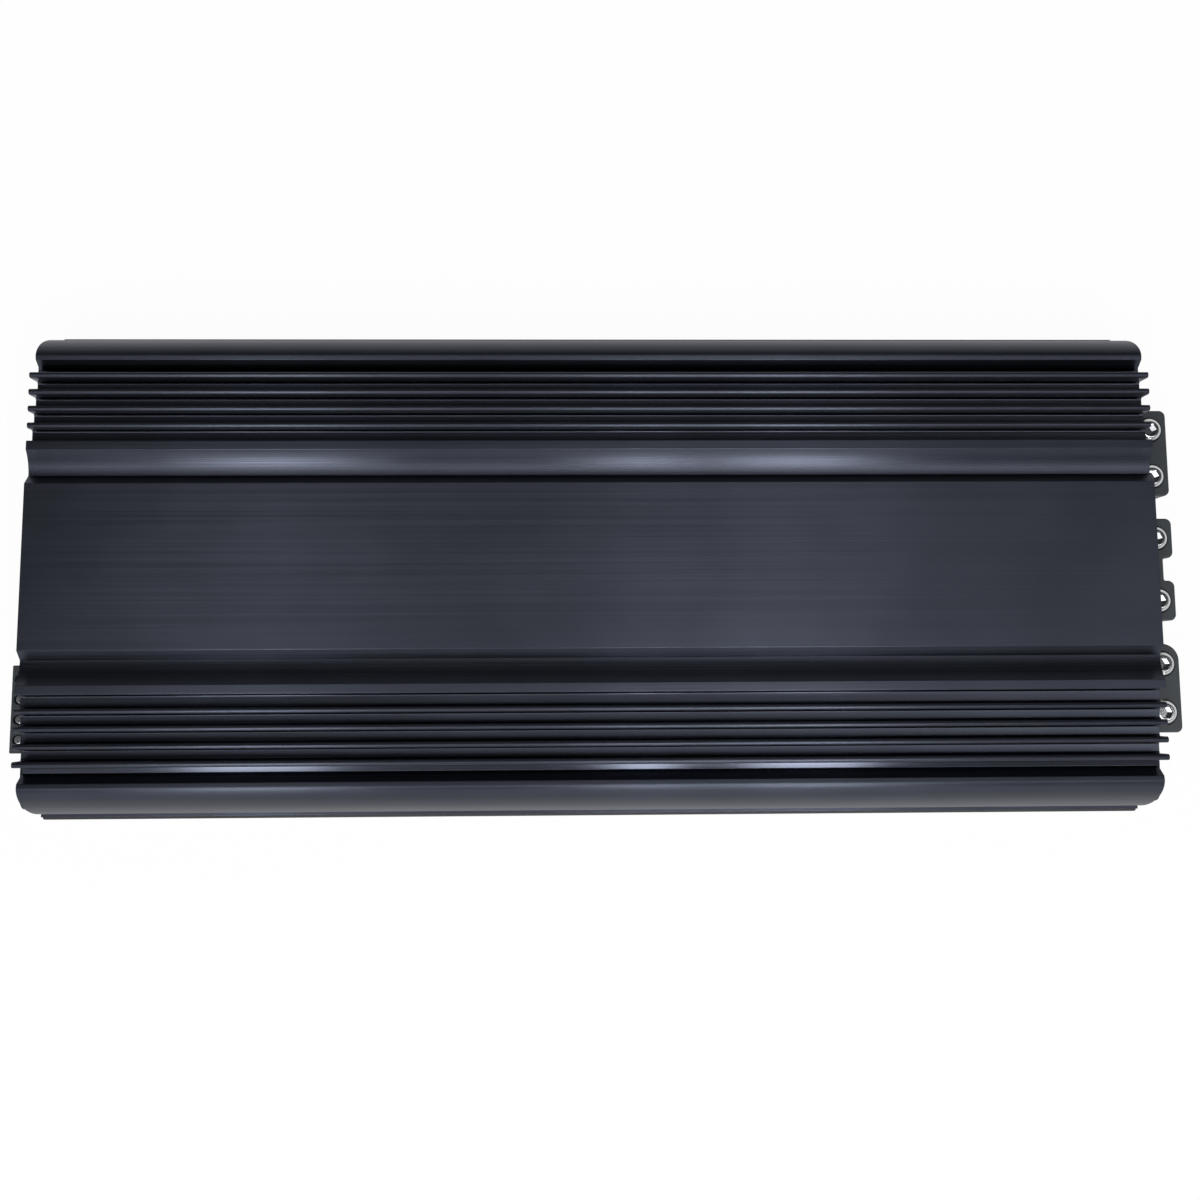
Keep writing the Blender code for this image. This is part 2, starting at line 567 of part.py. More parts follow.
def collar_shape(span):
    """Bmesh of the sleeve of a housing round a bar, where the bar enters the bay."""
    room = GAP + COLLAR_WALL
    return block((HALF_LENGTH - COLLAR_REACH_IN, span[0] - room, BAR_BOTTOM - room),
                 (HOUSING_BACK + CUT_MARGIN, span[1] + room, BAR_TOP + room))


def housing_outline(name, ways):
    """Plan of a terminal housing: a box with rounded front corners, or two towers on a web."""
    back = HOUSING_BACK
    front = HOUSING_FRONT
    high = ways[0] + HOUSING_SIDE
    low = ways[1] - HOUSING_SIDE
    if name == "speaker":
        web = front - SPEAKER_WEB_SETBACK
        inner_high = ways[0] - SPEAKER_TOWER_HALF
        inner_low = ways[1] + SPEAKER_TOWER_HALF
        lower = rounded_outline((back, low), (front, inner_low), (0, HOUSING_CORNER, HOUSING_CORNER, 0))
        upper = rounded_outline((back, inner_high), (front, high), (0, HOUSING_CORNER, HOUSING_CORNER, 0))
        return lower[:-1] + [(web, inner_low), (web, inner_high)] + upper[1:]
    inner_corner = HOUSING_LARGE_CORNER if name == "ground" else HOUSING_CORNER
    return rounded_outline((back, low), (front, high), (0, HOUSING_CORNER, inner_corner, 0))


def build_terminal(name, ways):
    """Moulded housing, metal bars, set screws and clamp pads of one terminal."""
    spans = bar_spans(name, ways)
    housing = add_object(f"{name}_terminal_housing",
                         prism(housing_outline(name, ways), HOUSING_LIFT, HOUSING_TOP, "Z"),
                         "moulded_grey_plastic")
    for span in spans:
        combine(housing, collar_shape(span), "UNION")
    pocket_back = HALF_LENGTH - COLLAR_REACH_IN - CUT_MARGIN
    cut(housing, [block((pocket_back, span[0] - GAP, BAR_BOTTOM - GAP),
                        (BAR_FRONT + GAP, span[1] + GAP, BAR_TOP + GAP)) for span in spans])
    entry = WIRE_BORE_RADIUS + WIRE_ENTRY_CLEARANCE
    mouth = (BAR_FRONT, HOUSING_FRONT + CUT_MARGIN)
    cut(housing, [placed(rod(entry, 0, mouth[1] - mouth[0], 24), (mouth[0], way, WIRE_AXIS_HEIGHT), "X")
                  for way in ways])
    cut(housing, [placed(rod(SET_SCREW_HOLE_RADIUS, BAR_TOP, HOUSING_TOP + CUT_MARGIN, 24),
                         (SET_SCREW_X, way, 0)) for way in ways])
    for i, span in enumerate(spans):
        suffix = f"_{i + 1}" if len(spans) > 1 else ""
        inside = [way for way in ways if span[0] < way < span[1]]
        build_bar(f"{name}_terminal_bar{suffix}", span, inside)
    for i, way in enumerate(ways):
        build_set_screw(f"{name}_set_screw_{i + 1}", way)
        pad = rod(CLAMP_PAD_RADIUS, -CLAMP_PAD_THICKNESS / 2, CLAMP_PAD_THICKNESS / 2, 16)
        add_object(f"{name}_clamp_pad_{i + 1}", pad, "nickel_plated_brass",
                   (SET_SCREW_X, way, CLAMP_PAD_BOTTOM + CLAMP_PAD_THICKNESS / 2), True)


def build_bar(name, span, ways):
    """Metal bar with a blind wire bore and a screw hole for each of its ways."""
    bar = add_object(name, block((BAR_BACK, span[0], BAR_BOTTOM), (BAR_FRONT, span[1], BAR_TOP)),
                     "nickel_plated_brass")
    bore_end = BAR_FRONT - WIRE_BORE_DEPTH
    length = WIRE_BORE_DEPTH + CUT_MARGIN
    cut(bar, [placed(rod(WIRE_BORE_RADIUS, 0, length, 24), (bore_end, way, WIRE_AXIS_HEIGHT), "X")
              for way in ways])
    cut(bar, [placed(rod(SET_SCREW_RADIUS + GAP, WIRE_AXIS_HEIGHT, BAR_TOP + CUT_MARGIN, 20),
                     (SET_SCREW_X, way, 0)) for way in ways])


def build_set_screw(name, way):
    """Round head set screw with a hex socket; its origin is on its axis, at the head's top."""
    rim = -SET_SCREW_CROWN
    crown = arc((0, 0), (SET_SCREW_HEAD_RADIUS, rim), SET_SCREW_CROWN / 3, 4)
    under = -SET_SCREW_HEAD_HEIGHT
    tip = SET_SCREW_TIP - SET_SCREW_TOP
    profile = [(0, 0)] + crown[1:]
    profile += [(SET_SCREW_HEAD_RADIUS, under), (SET_SCREW_RADIUS, under)]
    profile += [(SET_SCREW_RADIUS, tip), (0, tip)]
    screw = add_object(name, turned(profile, 24), "chromed_steel",
                       (SET_SCREW_X, way, SET_SCREW_TOP), True)
    cut(screw, [hexagon(SET_SCREW_SOCKET, -SET_SCREW_SOCKET_DEPTH, CUT_MARGIN)])


def input_ways():
    """Axes of the input block's ways along Y."""
    first = INPUT_CENTRE + INPUT_PITCH * (INPUT_WAYS - 1) / 2
    return [first - i * INPUT_PITCH for i in range(INPUT_WAYS)]


def input_collar(grow, start, end):
    """Bmesh of the part of the input block that passes the end plate, grown by grow."""
    inset = INPUT_COLLAR_INSET - grow
    half = INPUT_WIDTH / 2 - inset
    return block((start, INPUT_CENTRE - half, INPUT_LIFT + inset),
                 (end, INPUT_CENTRE + half, INPUT_TOP - inset))


def build_input_block():
    """Screw terminal block of the input end, with a wire entry and a sunk screw for each way."""
    half = INPUT_WIDTH / 2
    back = -PLATE_OUTER - GAP
    item = add_object("input_terminal_block",
                      block((-INPUT_FRONT, INPUT_CENTRE - half, INPUT_LIFT),
                            (back, INPUT_CENTRE + half, INPUT_TOP)), "moulded_grey_plastic")
    combine(item, input_collar(0, back - CUT_MARGIN, -HALF_LENGTH + COLLAR_REACH_IN), "UNION")
    entry_low = INPUT_LIFT + INPUT_ENTRY_LIFT
    cut(item, [block((-INPUT_FRONT - CUT_MARGIN, way - INPUT_ENTRY_WIDTH / 2, entry_low),
                     (-INPUT_FRONT + INPUT_ENTRY_DEPTH, way + INPUT_ENTRY_WIDTH / 2,
                      entry_low + INPUT_ENTRY_HEIGHT)) for way in input_ways()])
    screw_x = -INPUT_FRONT + INPUT_SCREW_SETBACK
    screw_top = INPUT_TOP - INPUT_SCREW_SUNK
    well_bottom = screw_top - INPUT_SCREW_HEIGHT - GAP
    well = INPUT_SCREW_RADIUS + GAP
    cut(item, [placed(rod(well, well_bottom, INPUT_TOP + CUT_MARGIN, 16), (screw_x, way, 0))
               for way in input_ways()])
    for i, way in enumerate(input_ways()):
        shape = rod(INPUT_SCREW_RADIUS, -INPUT_SCREW_HEIGHT, 0, 16)
        screw = add_object(f"input_terminal_screw_{i + 1}", shape, "chromed_steel",
                           (screw_x, way, screw_top), True)
        slot = INPUT_SCREW_SLOT / 2
        cut(screw, [block((-INPUT_SCREW_RADIUS - CUT_MARGIN, -slot, -2 * slot),
                          (INPUT_SCREW_RADIUS + CUT_MARGIN, slot, CUT_MARGIN))])


def build_jacks():
    """Two metal signal jacks in one housing behind the input end plate."""
    inner = -PLATE_INNER + GAP
    low = min(JACK_CENTRES) - JACK_HOUSING_SIDE
    high = max(JACK_CENTRES) + JACK_HOUSING_SIDE
    top = JACK_LIFT + JACK_HOUSING_SIDE
    shape = block((inner, low, BOARD_TOP + GAP), (inner + JACK_HOUSING_DEPTH, high, top))
    add_object("signal_jack_housing", shape, "black_plastic")
    shoulder = END_PLATE_THICKNESS + GAP
    profile = ((0, JACK_REACH - JACK_BORE_DEPTH), (JACK_BORE_RADIUS, JACK_REACH - JACK_BORE_DEPTH),
               (JACK_BORE_RADIUS, JACK_REACH), (JACK_RADIUS, JACK_REACH),
               (JACK_RADIUS, JACK_SHOULDER_REACH), (JACK_SHOULDER_RADIUS, JACK_SHOULDER_REACH),
               (JACK_SHOULDER_RADIUS, GAP), (JACK_RADIUS, GAP),
               (JACK_RADIUS, -shoulder + GAP), (0, -shoulder + GAP))
    for i, y in enumerate(JACK_CENTRES):
        add_object(f"signal_jack_sleeve_{i + 1}", placed(turned(profile, 20), (0, 0, 0), "-X"),
                   "nickel_plated_brass", (-PLATE_OUTER, y, JACK_LIFT), True)


def remote_corners(grow):
    """Low and high corners, as (Y, Z), of the remote jack's face grown by grow."""
    bottom = BOARD_TOP + GAP
    return ((REMOTE_CENTRE - REMOTE_WIDTH / 2 - grow, bottom - grow),
            (REMOTE_CENTRE + REMOTE_WIDTH / 2 + grow, bottom + REMOTE_HEIGHT + grow))


def build_remote_jack():
    """Square jack for a remote control, standing on the main board and through the end plate."""
    face = -PLATE_OUTER - REMOTE_PROUD
    low, high = remote_corners(0)
    jack = add_object("remote_jack", block((face, *low), (face + REMOTE_DEPTH, *high)), "black_plastic")
    low, high = remote_corners(-REMOTE_WALL)
    cut(jack, [block((face - CUT_MARGIN, *low), (face + REMOTE_PORT_DEPTH, *high))])


def build_controls():
    """Slotted shafts of the turning controls, the phase slide switch and the power lamp."""
    top = CONTROL_PROUD
    for name, y in zip(CONTROL_NAMES, CONTROL_CENTRES):
        shape = placed(rod(CONTROL_RADIUS, -END_PLATE_THICKNESS, top, 20), (0, 0, 0), "-X")
        shaft = add_object(name, shape, "black_plastic", (-PLATE_OUTER, y, JACK_LIFT), True)
        slot = CONTROL_SLOT_WIDTH / 2
        cut(shaft, [block((-top - CUT_MARGIN, -slot, -CONTROL_RADIUS / 2),
                          (-top + CONTROL_SLOT_DEPTH, slot, CONTROL_RADIUS + CUT_MARGIN))])
    half_y = SWITCH_TAB_WIDTH / 2
    half_z = SWITCH_TAB_HEIGHT / 2
    add_object("phase_switch_slider", block((-SWITCH_PROUD, -half_y, -half_z),
                                            (END_PLATE_THICKNESS, half_y, half_z)),
               "black_plastic", (-PLATE_OUTER, SWITCH_CENTRE, JACK_LIFT))
    tip = LAMP_PROUD + LAMP_RADIUS
    dome = arc((0, tip), (LAMP_RADIUS, LAMP_PROUD), LAMP_RADIUS * (1 - math.sqrt(0.5)), 4)
    profile = [(0, tip)] + dome[1:]
    profile += [(LAMP_RADIUS, -END_PLATE_THICKNESS), (0, -END_PLATE_THICKNESS)]
    add_object("power_lamp", placed(turned(profile, 16), (0, 0, 0), "-X"), "blue_lens",
               (-PLATE_OUTER, LAMP_CENTRE, JACK_LIFT), True)


def input_openings():
    """Bmeshes of the openings in the input end plate."""
    near = -PLATE_INNER + CUT_MARGIN
    far = -PLATE_OUTER - CUT_MARGIN
    through = near - far
    low, high = remote_corners(GAP)
    openings = [block((far, *low), (near, *high)), input_collar(GAP, far, near)]
    for y in JACK_CENTRES:
        openings.append(placed(rod(JACK_RADIUS + GAP, 0, through), (far, y, JACK_LIFT), "X"))
    for y in CONTROL_CENTRES:
        openings.append(placed(rod(CONTROL_RADIUS + GAP, 0, through), (far, y, JACK_LIFT), "X"))
    openings.append(placed(rod(LAMP_RADIUS + GAP, 0, through, 16), (far, LAMP_CENTRE, JACK_LIFT), "X"))
    reach_y = (SWITCH_TAB_WIDTH + SWITCH_TRAVEL) / 2 + GAP
    reach_z = SWITCH_TAB_HEIGHT / 2 + GAP
    openings.append(block((far, SWITCH_CENTRE - reach_y, JACK_LIFT - reach_z),
                          (near, SWITCH_CENTRE + reach_y, JACK_LIFT + reach_z)))
    return openings


def power_openings():
    """Bmeshes of the windows in the power end plate, one round each housing."""
    room = HOUSING_SIDE + GAP
    return [block((PLATE_INNER - CUT_MARGIN, ways[1] - room, HOUSING_LIFT - GAP),
                  (PLATE_OUTER + CUT_MARGIN, ways[0] + room, HOUSING_TOP + GAP))
            for ways in TERMINAL_WAYS.values()]


def build_main_board():
    """Main board on the heatsink's ledges, with power transistors standing along both edges."""
    end = HALF_LENGTH - BOARD_END_MARGIN
    edge = LEG_INNER - GAP
    shape = block((-end, -edge, BOARD_BOTTOM), (end, edge, BOARD_TOP))
    board = add_object("main_board", shape, "green_board")
    root = BOARD_TOP - BOARD_THICKNESS / 2
    first = -TRANSISTOR_PITCH * (TRANSISTORS_PER_SIDE - 1) / 2
    cases = []
    for i in range(TRANSISTORS_PER_SIDE):
        x = first + i * TRANSISTOR_PITCH
        for near, far in ((edge - TRANSISTOR_THICKNESS, edge), (-edge, -edge + TRANSISTOR_THICKNESS)):
            cases.append(block((x - TRANSISTOR_WIDTH / 2, near, root),
                               (x + TRANSISTOR_WIDTH / 2, far, BOARD_TOP + HEADROOM)))
    combine(board, gathered(cases), "UNION")
    reach = -first + TRANSISTOR_WIDTH / 2 + CLAMP_BAR_OVERHANG
    outer = edge - TRANSISTOR_THICKNESS - GAP
    low = BOARD_TOP + CLAMP_BAR_LIFT
    for i, side in enumerate((1, -1)):
        span = sorted((side * outer, side * (outer - CLAMP_BAR_WIDTH)))
        shape = block((-reach, span[0], low), (reach, span[1], low + CLAMP_BAR_HEIGHT))
        add_object(f"transistor_clamp_bar_{i + 1}", shape, "plain_aluminium")


def build_control_board():
    """Upright board behind the input end plate, with the bodies of the controls, switch and lamp."""
    low = BOARD_TOP + GAP
    back = -CONTROL_BOARD_X + BOARD_THICKNESS
    left = LAMP_CENTRE - LAMP_RADIUS - CONTROL_BOARD_MARGIN
    right = CONTROL_FIRST + CONTROL_BODY_WIDTH / 2 + CONTROL_BOARD_MARGIN
    board = add_object("control_board", block((-CONTROL_BOARD_X, left, low),
                                              (back, right, low + CONTROL_BOARD_HEIGHT)), "green_board")
    root = -CONTROL_BOARD_X + BOARD_THICKNESS / 2
    half_z = CONTROL_BODY_WIDTH / 2
    bodies = []
    for y in CONTROL_CENTRES + [SWITCH_CENTRE, LAMP_CENTRE]:
        half_y = LAMP_RADIUS if y == LAMP_CENTRE else CONTROL_BODY_WIDTH / 2
        bodies.append(block((-CONTROL_FRONT, y - half_y, JACK_LIFT - half_z),
                            (root, y + half_y, JACK_LIFT + half_z)))
    combine(board, gathered(bodies), "UNION")


def build_coil(name, centre, radius, hole):
    """Ring shaped wound coil lying on the main board."""
    low = BOARD_TOP + GAP
    high = BOARD_TOP + HEADROOM
    outline = rounded_outline((hole, low), (radius, high), (COIL_CORNER,) * 4, 2)
    add_object(name, turned(list(reversed(outline)), 24, True), "wound_copper", (*centre, 0), True)


def build_power_stage():
    """Transformers, output inductor and capacitors on the main board."""
    for i, centre in enumerate(TRANSFORMER_CENTRES):
        build_coil(f"power_transformer_{i + 1}", centre, TRANSFORMER_RADIUS, TRANSFORMER_HOLE)
    build_coil("output_inductor", INDUCTOR_CENTRE, INDUCTOR_RADIUS, INDUCTOR_HOLE)
    for i, centre in enumerate(CAPACITOR_CENTRES):
        can = rod(CAPACITOR_RADIUS, BOARD_TOP + GAP, BOARD_TOP + HEADROOM, 24)
        add_object(f"supply_capacitor_{i + 1}", can, "capacitor_sleeve", (*centre, 0), True)


def build_amplifier():
    """Clear the scene and make every piece."""
    for item in list(bpy.data.objects):
        bpy.data.objects.remove(item)
    build_heatsink()
    build_bottom_plate()
    build_base_screws()
    build_end_plate("input_end_plate", -1, input_openings())
    build_end_plate("power_end_plate", 1, power_openings())
    build_plate_screws("input_plate_screw", -1)
    build_plate_screws("power_plate_screw", 1)
    for name, ways in TERMINAL_WAYS.items():
        build_terminal(name, ways)
    build_input_block()
    build_jacks()
    build_remote_jack()
    build_controls()
    build_main_board()
    build_control_board()
    build_power_stage()


build_amplifier()
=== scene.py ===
"""Car amplifier: its visible pieces, their finishes and the studio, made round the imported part.

Laid out as an add-on and run as a script. Sizes are in metres, in the part's own frame: +X runs along the
amplifier to the power terminals, +Z is up, and the origin is the middle of the bottom plate's underside.
"""
import math

import bmesh
import bpy
from bpy.props import FloatProperty, FloatVectorProperty, IntProperty, PointerProperty
from mathutils import Matrix, Vector


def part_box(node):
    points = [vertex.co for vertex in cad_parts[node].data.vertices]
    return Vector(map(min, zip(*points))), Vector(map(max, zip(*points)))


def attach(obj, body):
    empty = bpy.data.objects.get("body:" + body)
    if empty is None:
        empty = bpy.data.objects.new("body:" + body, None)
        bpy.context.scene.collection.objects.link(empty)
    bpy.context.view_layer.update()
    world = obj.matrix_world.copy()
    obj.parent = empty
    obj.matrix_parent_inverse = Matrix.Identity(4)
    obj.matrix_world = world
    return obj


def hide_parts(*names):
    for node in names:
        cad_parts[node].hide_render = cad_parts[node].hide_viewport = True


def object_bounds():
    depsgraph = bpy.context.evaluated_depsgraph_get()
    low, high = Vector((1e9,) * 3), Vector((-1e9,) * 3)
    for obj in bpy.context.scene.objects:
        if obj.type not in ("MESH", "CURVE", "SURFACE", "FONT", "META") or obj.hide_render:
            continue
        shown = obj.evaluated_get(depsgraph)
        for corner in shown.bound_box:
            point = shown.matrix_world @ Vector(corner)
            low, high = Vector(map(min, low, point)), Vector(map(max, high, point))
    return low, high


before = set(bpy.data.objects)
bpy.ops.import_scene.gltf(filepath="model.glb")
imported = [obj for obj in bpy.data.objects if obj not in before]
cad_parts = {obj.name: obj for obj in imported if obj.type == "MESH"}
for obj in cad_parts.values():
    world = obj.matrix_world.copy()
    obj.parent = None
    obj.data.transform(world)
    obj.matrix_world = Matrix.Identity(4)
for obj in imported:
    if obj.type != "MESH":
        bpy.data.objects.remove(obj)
CAD_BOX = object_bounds()

bl_info = {
    "name": "Car amplifier",
    "version": (1, 0, 0),
    "blender": (4, 5, 0),
    "location": "3D View > Sidebar > Amplifier",
    "description": "Makes the visible pieces and finishes of a finned car amplifier, and its studio",
    "category": "Add Mesh",
}

MM = 0.001
CHASSIS = "chassis"

# Heatsink section, from its middle outwards, as in the part
PLATEAU_HALF = 38.9 * MM
COVE_FOOT = (43.2 * MM, 42.8 * MM)
COVE_LIP = 54.8 * MM
COVE_HOLLOW = 1.3 * MM
LIP_EDGE = 59.2 * MM
FIN_START = 65.2 * MM
FIN_COUNT = 4
FIN_PITCH = 8.04 * MM
FIN_THICKNESS = 2.8 * MM
FLOOR_DEPTH = 7.9 * MM
FLOOR_STEP = 1.4 * MM
VALLEY = (95.32 * MM, 33.6 * MM)
RAIL_START = (99.62 * MM, 40.3 * MM)
RAIL_CREST = (101.52 * MM, 40.6 * MM)
RAIL_ROUND_POWER = 1.8                           # 2 makes the rail's round an ellipse
SIDE_WALL_TOP = 5.4 * MM
FLANGE = (1.7 * MM, 2.0 * MM)                    # reach past the side, and thickness
LEG_INNER = 103.72 * MM
BOARD_LEDGE = (4.3 * MM, 6.5 * MM, 3.5 * MM)     # underside, top and width
ROOF = 30.1 * MM
BAY = (34.0 * MM, 40.0 * MM)                     # half width and roof of the taller bay

# Terminals, as in the part
WIRE_LIFT = 5.9 * MM                             # of a wire's axis above the underside of its bar
WIRE_BORE = 4.4 * MM                             # radius, in the bar
WIRE_BORE_DEPTH = 17.5 * MM
WIRE_ENTRY = (4.9 * MM, 3.6 * MM)                # radius and depth, in the housing
SCREW_WELL = 5.9 * MM                            # radius, round a set screw's head
SCREW_HEAD = 3.6 * MM                            # height of a set screw's head
SCREW_SOCKET = (5 * MM, 3.2 * MM, 0.35 * MM)     # flats, depth and flare of its hex socket
THREAD_RADII = (3.4 * MM, 4.0 * MM)              # root and crest
THREAD_HOLE = 4.3 * MM
THREAD_RINGS = 8                                 # to one turn of the thread
HOUSING_CORNERS = (3 * MM, 8 * MM)               # of all housings, and of the ground housing's inner corner
TOWER_HALF = 9.7 * MM                            # width of a speaker tower, to each side of its screw
WEB_SETBACK = 5 * MM                             # of the web between the speaker towers from their fronts
MARK_DROP = 3.4 * MM                             # of a plus or minus below its housing's top

# Plates and their screws, as in the part
PLATE_OVERLAP = 1.5 * MM                         # of an end plate above the roof and beside the bay
PLATE_CORNER = 8 * MM
PLATE_HOLE = 1.8 * MM
BLOCK_LAP = 1.7 * MM                             # of the input block over its window
JACK_HOLE = 4.45 * MM
CONTROL_HOLE = 3.3 * MM
LAMP_HOLE = 1.8 * MM
SWITCH_SLOT = (3.3 * MM, 1.6 * MM)               # half width and half height

ROOM = 0.3 * MM                                  # round what passes through a plate or sits in a pocket
OVERCUT = 1 * MM                                 # of a cutter past the face that it opens

# Finishes
BRUSHED_HEIGHTS = (40 * MM, 46 * MM)             # between which the brush begins to reach the heatsink
BRUSHED_RAIL = (96 * MM, 98 * MM)                # and the same outwards from its middle
BRUSHED_SHARE = (0.62, 1.0)                      # of the roughness, out of the brush's reach and in it
DYE_CLOUD = 40 * MM                              # size of the dye's uneven patches
NOISE_RANGE = (0.3, 0.7)                         # that most of a noise lies in
COIL_TURNS = 90

# The camera that the photograph was taken with, as fitted to the outlines
CAMERA_PLACE = (-16.09 * MM, -60.24 * MM, 748.27 * MM)
CAMERA_TURN = (7.759, -1.576, -0.124)            # degrees about X, then Y, then Z
CAMERA_LENS = 45.0
CAMERA_SENSOR = 36.0
CAMERA_SHIFT = (-0.0019, -0.0917)                # the photograph's middle lies below the lens axis

# Soft boxes: the power setting that each goes by, its share of it, place, target and size
LAMPS = {
    "left_strip": ("key_power", 1.2, (-0.5, -1.1, 1.4), (-0.5, -0.02, 0.03), (0.2, 0.7)),
    "middle_strip": ("key_power", 0.7, (0.115, -1.1, 1.4), (0.115, -0.02, 0.03), (0.08, 0.7)),
    "right_strip": ("key_power", 1.3, (0.375, -1.1, 1.4), (0.375, -0.02, 0.03), (0.18, 0.7)),
    "top_light": ("top_power", 1.0, (0.2, -0.55, 1.9), (0.1, 0, 0.03), (2.6, 0.5)),
    "front_light": ("front_power", 1.0, (0.0, -1.5, 0.5), (0, 0, 0.03), (2.0, 0.5)),
}
FLOOR_REACH = 6.0
FLOOR_LEVEL = -0.2 * MM
FLOOR_WHITE = 0.96                               # share of plain white in what is seen of the floor
WALL_HEIGHTS = (0.05, 0.4)                       # sines of the heights over which walls turn into ceiling
CEILING_DEPTHS = (-0.35, 0.25)                   # along Y, between which the ceiling dims to the back

TERMINALS = ("power", "speaker", "ground")
POLARITY = {"power": "++", "speaker": "+-", "ground": "--"}
CONTROLS = ("gain_control", "low_pass_control", "subsonic_control", "bass_boost_control")


def linear(colour):
    """Linear RGB of an sRGB hex colour such as #20242a."""
    channels = [int(colour[i:i + 2], 16) / 255 for i in (1, 3, 5)]
    return tuple(c / 12.92 if c <= 0.04045 else ((c + 0.055) / 1.055) ** 2.4 for c in channels)


def length(name, description, default):
    """A length that the user can set."""
    return FloatProperty(name=name, description=description, default=default, unit="LENGTH")


def swatch(name, description, colour):
    """A colour that the user can set, first given as sRGB hex."""
    return FloatVectorProperty(name=name, description=description, subtype="COLOR", default=linear(colour))


def power(name, description, default):
    """A light's power that the user can set."""
    return FloatProperty(name=name, description=description, default=default, subtype="POWER")


def glow(name, description, default):
    """A brightness that the user can set."""
    return FloatProperty(name=name, description=description, default=default, min=0.0)


class AmplifierSizes(bpy.types.PropertyGroup):
    """Small sizes of edges, threads and surface grain."""
    extrusion_edge: length("Extrusion edge", "Rounding of the extrusion's long corners", 0.5 * MM)
    saw_edge: length("Sawn edge", "Rounding where the extrusion was cut to length", 0.2 * MM)
    root_round: length("Fin root", "Rounding at the foot of each fin", 1.1 * MM)
    sheet_edge: length("Sheet edge", "Rounding of the plates' edges", 0.25 * MM)
    moulded_edge: length("Moulded edge", "Rounding of the plastic mouldings' edges", 0.7 * MM)
    mouth_flare: length("Mouth", "Lead-in round each wire entry and screw hole", 0.45 * MM)
    thread_pitch: length("Thread pitch", "Pitch of the clamp screws' thread", 1.25 * MM)
    brush_spacing: length("Brush lines", "Width of the brushed lines along the heatsink", 0.7 * MM)
    brush_length: length("Brush stroke", "Length of the brushed lines along the heatsink", 280 * MM)
    turned_segments: IntProperty(
        name="Round facets", description="Facets round the turned pieces", default=48, min=12)


class AmplifierColours(bpy.types.PropertyGroup):
    """Colours of the finishes."""
    anodised: swatch("Heatsink", "Dyed anodised layer of the heatsink", "#383b44")
    end_plate: swatch("End plates", "Black anodised layer of the end plates", "#24272b")
    coated: swatch("Bottom plate", "Powder coat of the bottom plate", "#202226")
    moulding: swatch("Terminals", "Moulded plastic of the terminals", "#2f3438")
    black: swatch("Small plastic", "Moulded plastic of jacks and controls", "#17181a")
    chrome: swatch("Clamp screws", "Chrome plate of the clamp screws", "#c2c4c6")
    nickel: swatch("Terminal metal", "Nickel plate of bars, pads and jacks", "#cdc7b8")
    zinc: swatch("Plate screws", "Black zinc of the plates' screws", "#2b2c2f")
    ink: swatch("Print", "Screen printed marks on the end plates", "#c9ccce")
    lens: swatch("Lamp", "Tinted lens of the power lamp", "#2f6fd8")
    mask: swatch("Boards", "Solder mask of the circuit boards", "#155a34")


class AmplifierStage(bpy.types.PropertyGroup):
    """Light and floor of the studio."""
    floor: swatch("Floor", "Pale floor", "#f4f4f4")
    key_power: power("Key lights", "Three narrow soft boxes above the photographer's side", 5.0)
    top_power: power("Top light", "Wide soft light overhead", 16.0)
    front_power: power("Front light", "Low soft light on the photographer's side", 4.5)
    ceiling: glow("Ceiling", "Brightness of the ceiling on the photographer's side", 0.32)
    ceiling_back: glow("Ceiling behind", "Brightness of the ceiling behind the amplifier", 0.08)


def sizes():
    """The sizes that the user has set."""
    return bpy.context.scene.amplifier_sizes


def colours():
    """The colours that the user has set."""
    return bpy.context.scene.amplifier_colours


# Shapes


def rounded(corners, steps=4, closed=True):
    """Outline from (u, v, radius) corners, each with its radius turned into an arc."""
    points = []
    last = len(corners) - 1
    for i, (u, v, radius) in enumerate(corners):
        corner = Vector((u, v))
        if radius == 0 or (not closed and i in (0, last)):
            points.append(corner)
            continue
        before = (Vector(corners[i - 1][:2]) - corner).normalized()
        after = (Vector(corners[(i + 1) % len(corners)][:2]) - corner).normalized()
        half = before.angle(after) / 2
        centre = corner + (before + after).normalized() * radius / math.sin(half)
        start = corner + before * radius / math.tan(half) - centre
        end = corner + after * radius / math.tan(half) - centre
        sweep = math.pi - 2 * half
        for k in range(steps + 1):
            near = math.sin(sweep * (steps - k) / steps)
            far = math.sin(sweep * k / steps)
            points.append(centre + (start * near + end * far) / math.sin(sweep))
    return points


def rectangle(low, high, radius, steps=4):
    """Outline of a rectangle with rounded corners, anticlockwise."""
    return rounded([(low[0], low[1], radius), (high[0], low[1], radius),
                    (high[0], high[1], radius), (low[0], high[1], radius)], steps)


def inset(outline, amount):
    """An anticlockwise outline moved inwards by amount."""
    moved = []
    for i, point in enumerate(outline):
        before = (point - outline[i - 1]).normalized()
        after = (outline[(i + 1) % len(outline)] - point).normalized()
        side = Vector((-before.y, before.x))
        middle = (side + Vector((-after.y, after.x))).normalized()
        moved.append(point + middle * amount / max(0.3, middle.dot(side)))
    return moved


def lofted(rings):
    """Bmesh of a closed skin over rings of points, with a flat cap at each end."""
    shape = bmesh.new()
    loops = [[shape.verts.new(point) for point in ring] for ring in rings]
    count = len(loops[0])
    for lower, upper in zip(loops, loops[1:]):
        for i in range(count):
            j = (i + 1) % count
            shape.faces.new((lower[i], lower[j], upper[j], upper[i]))
    shape.faces.new(reversed(loops[0]))
    shape.faces.new(loops[-1])
    return shape


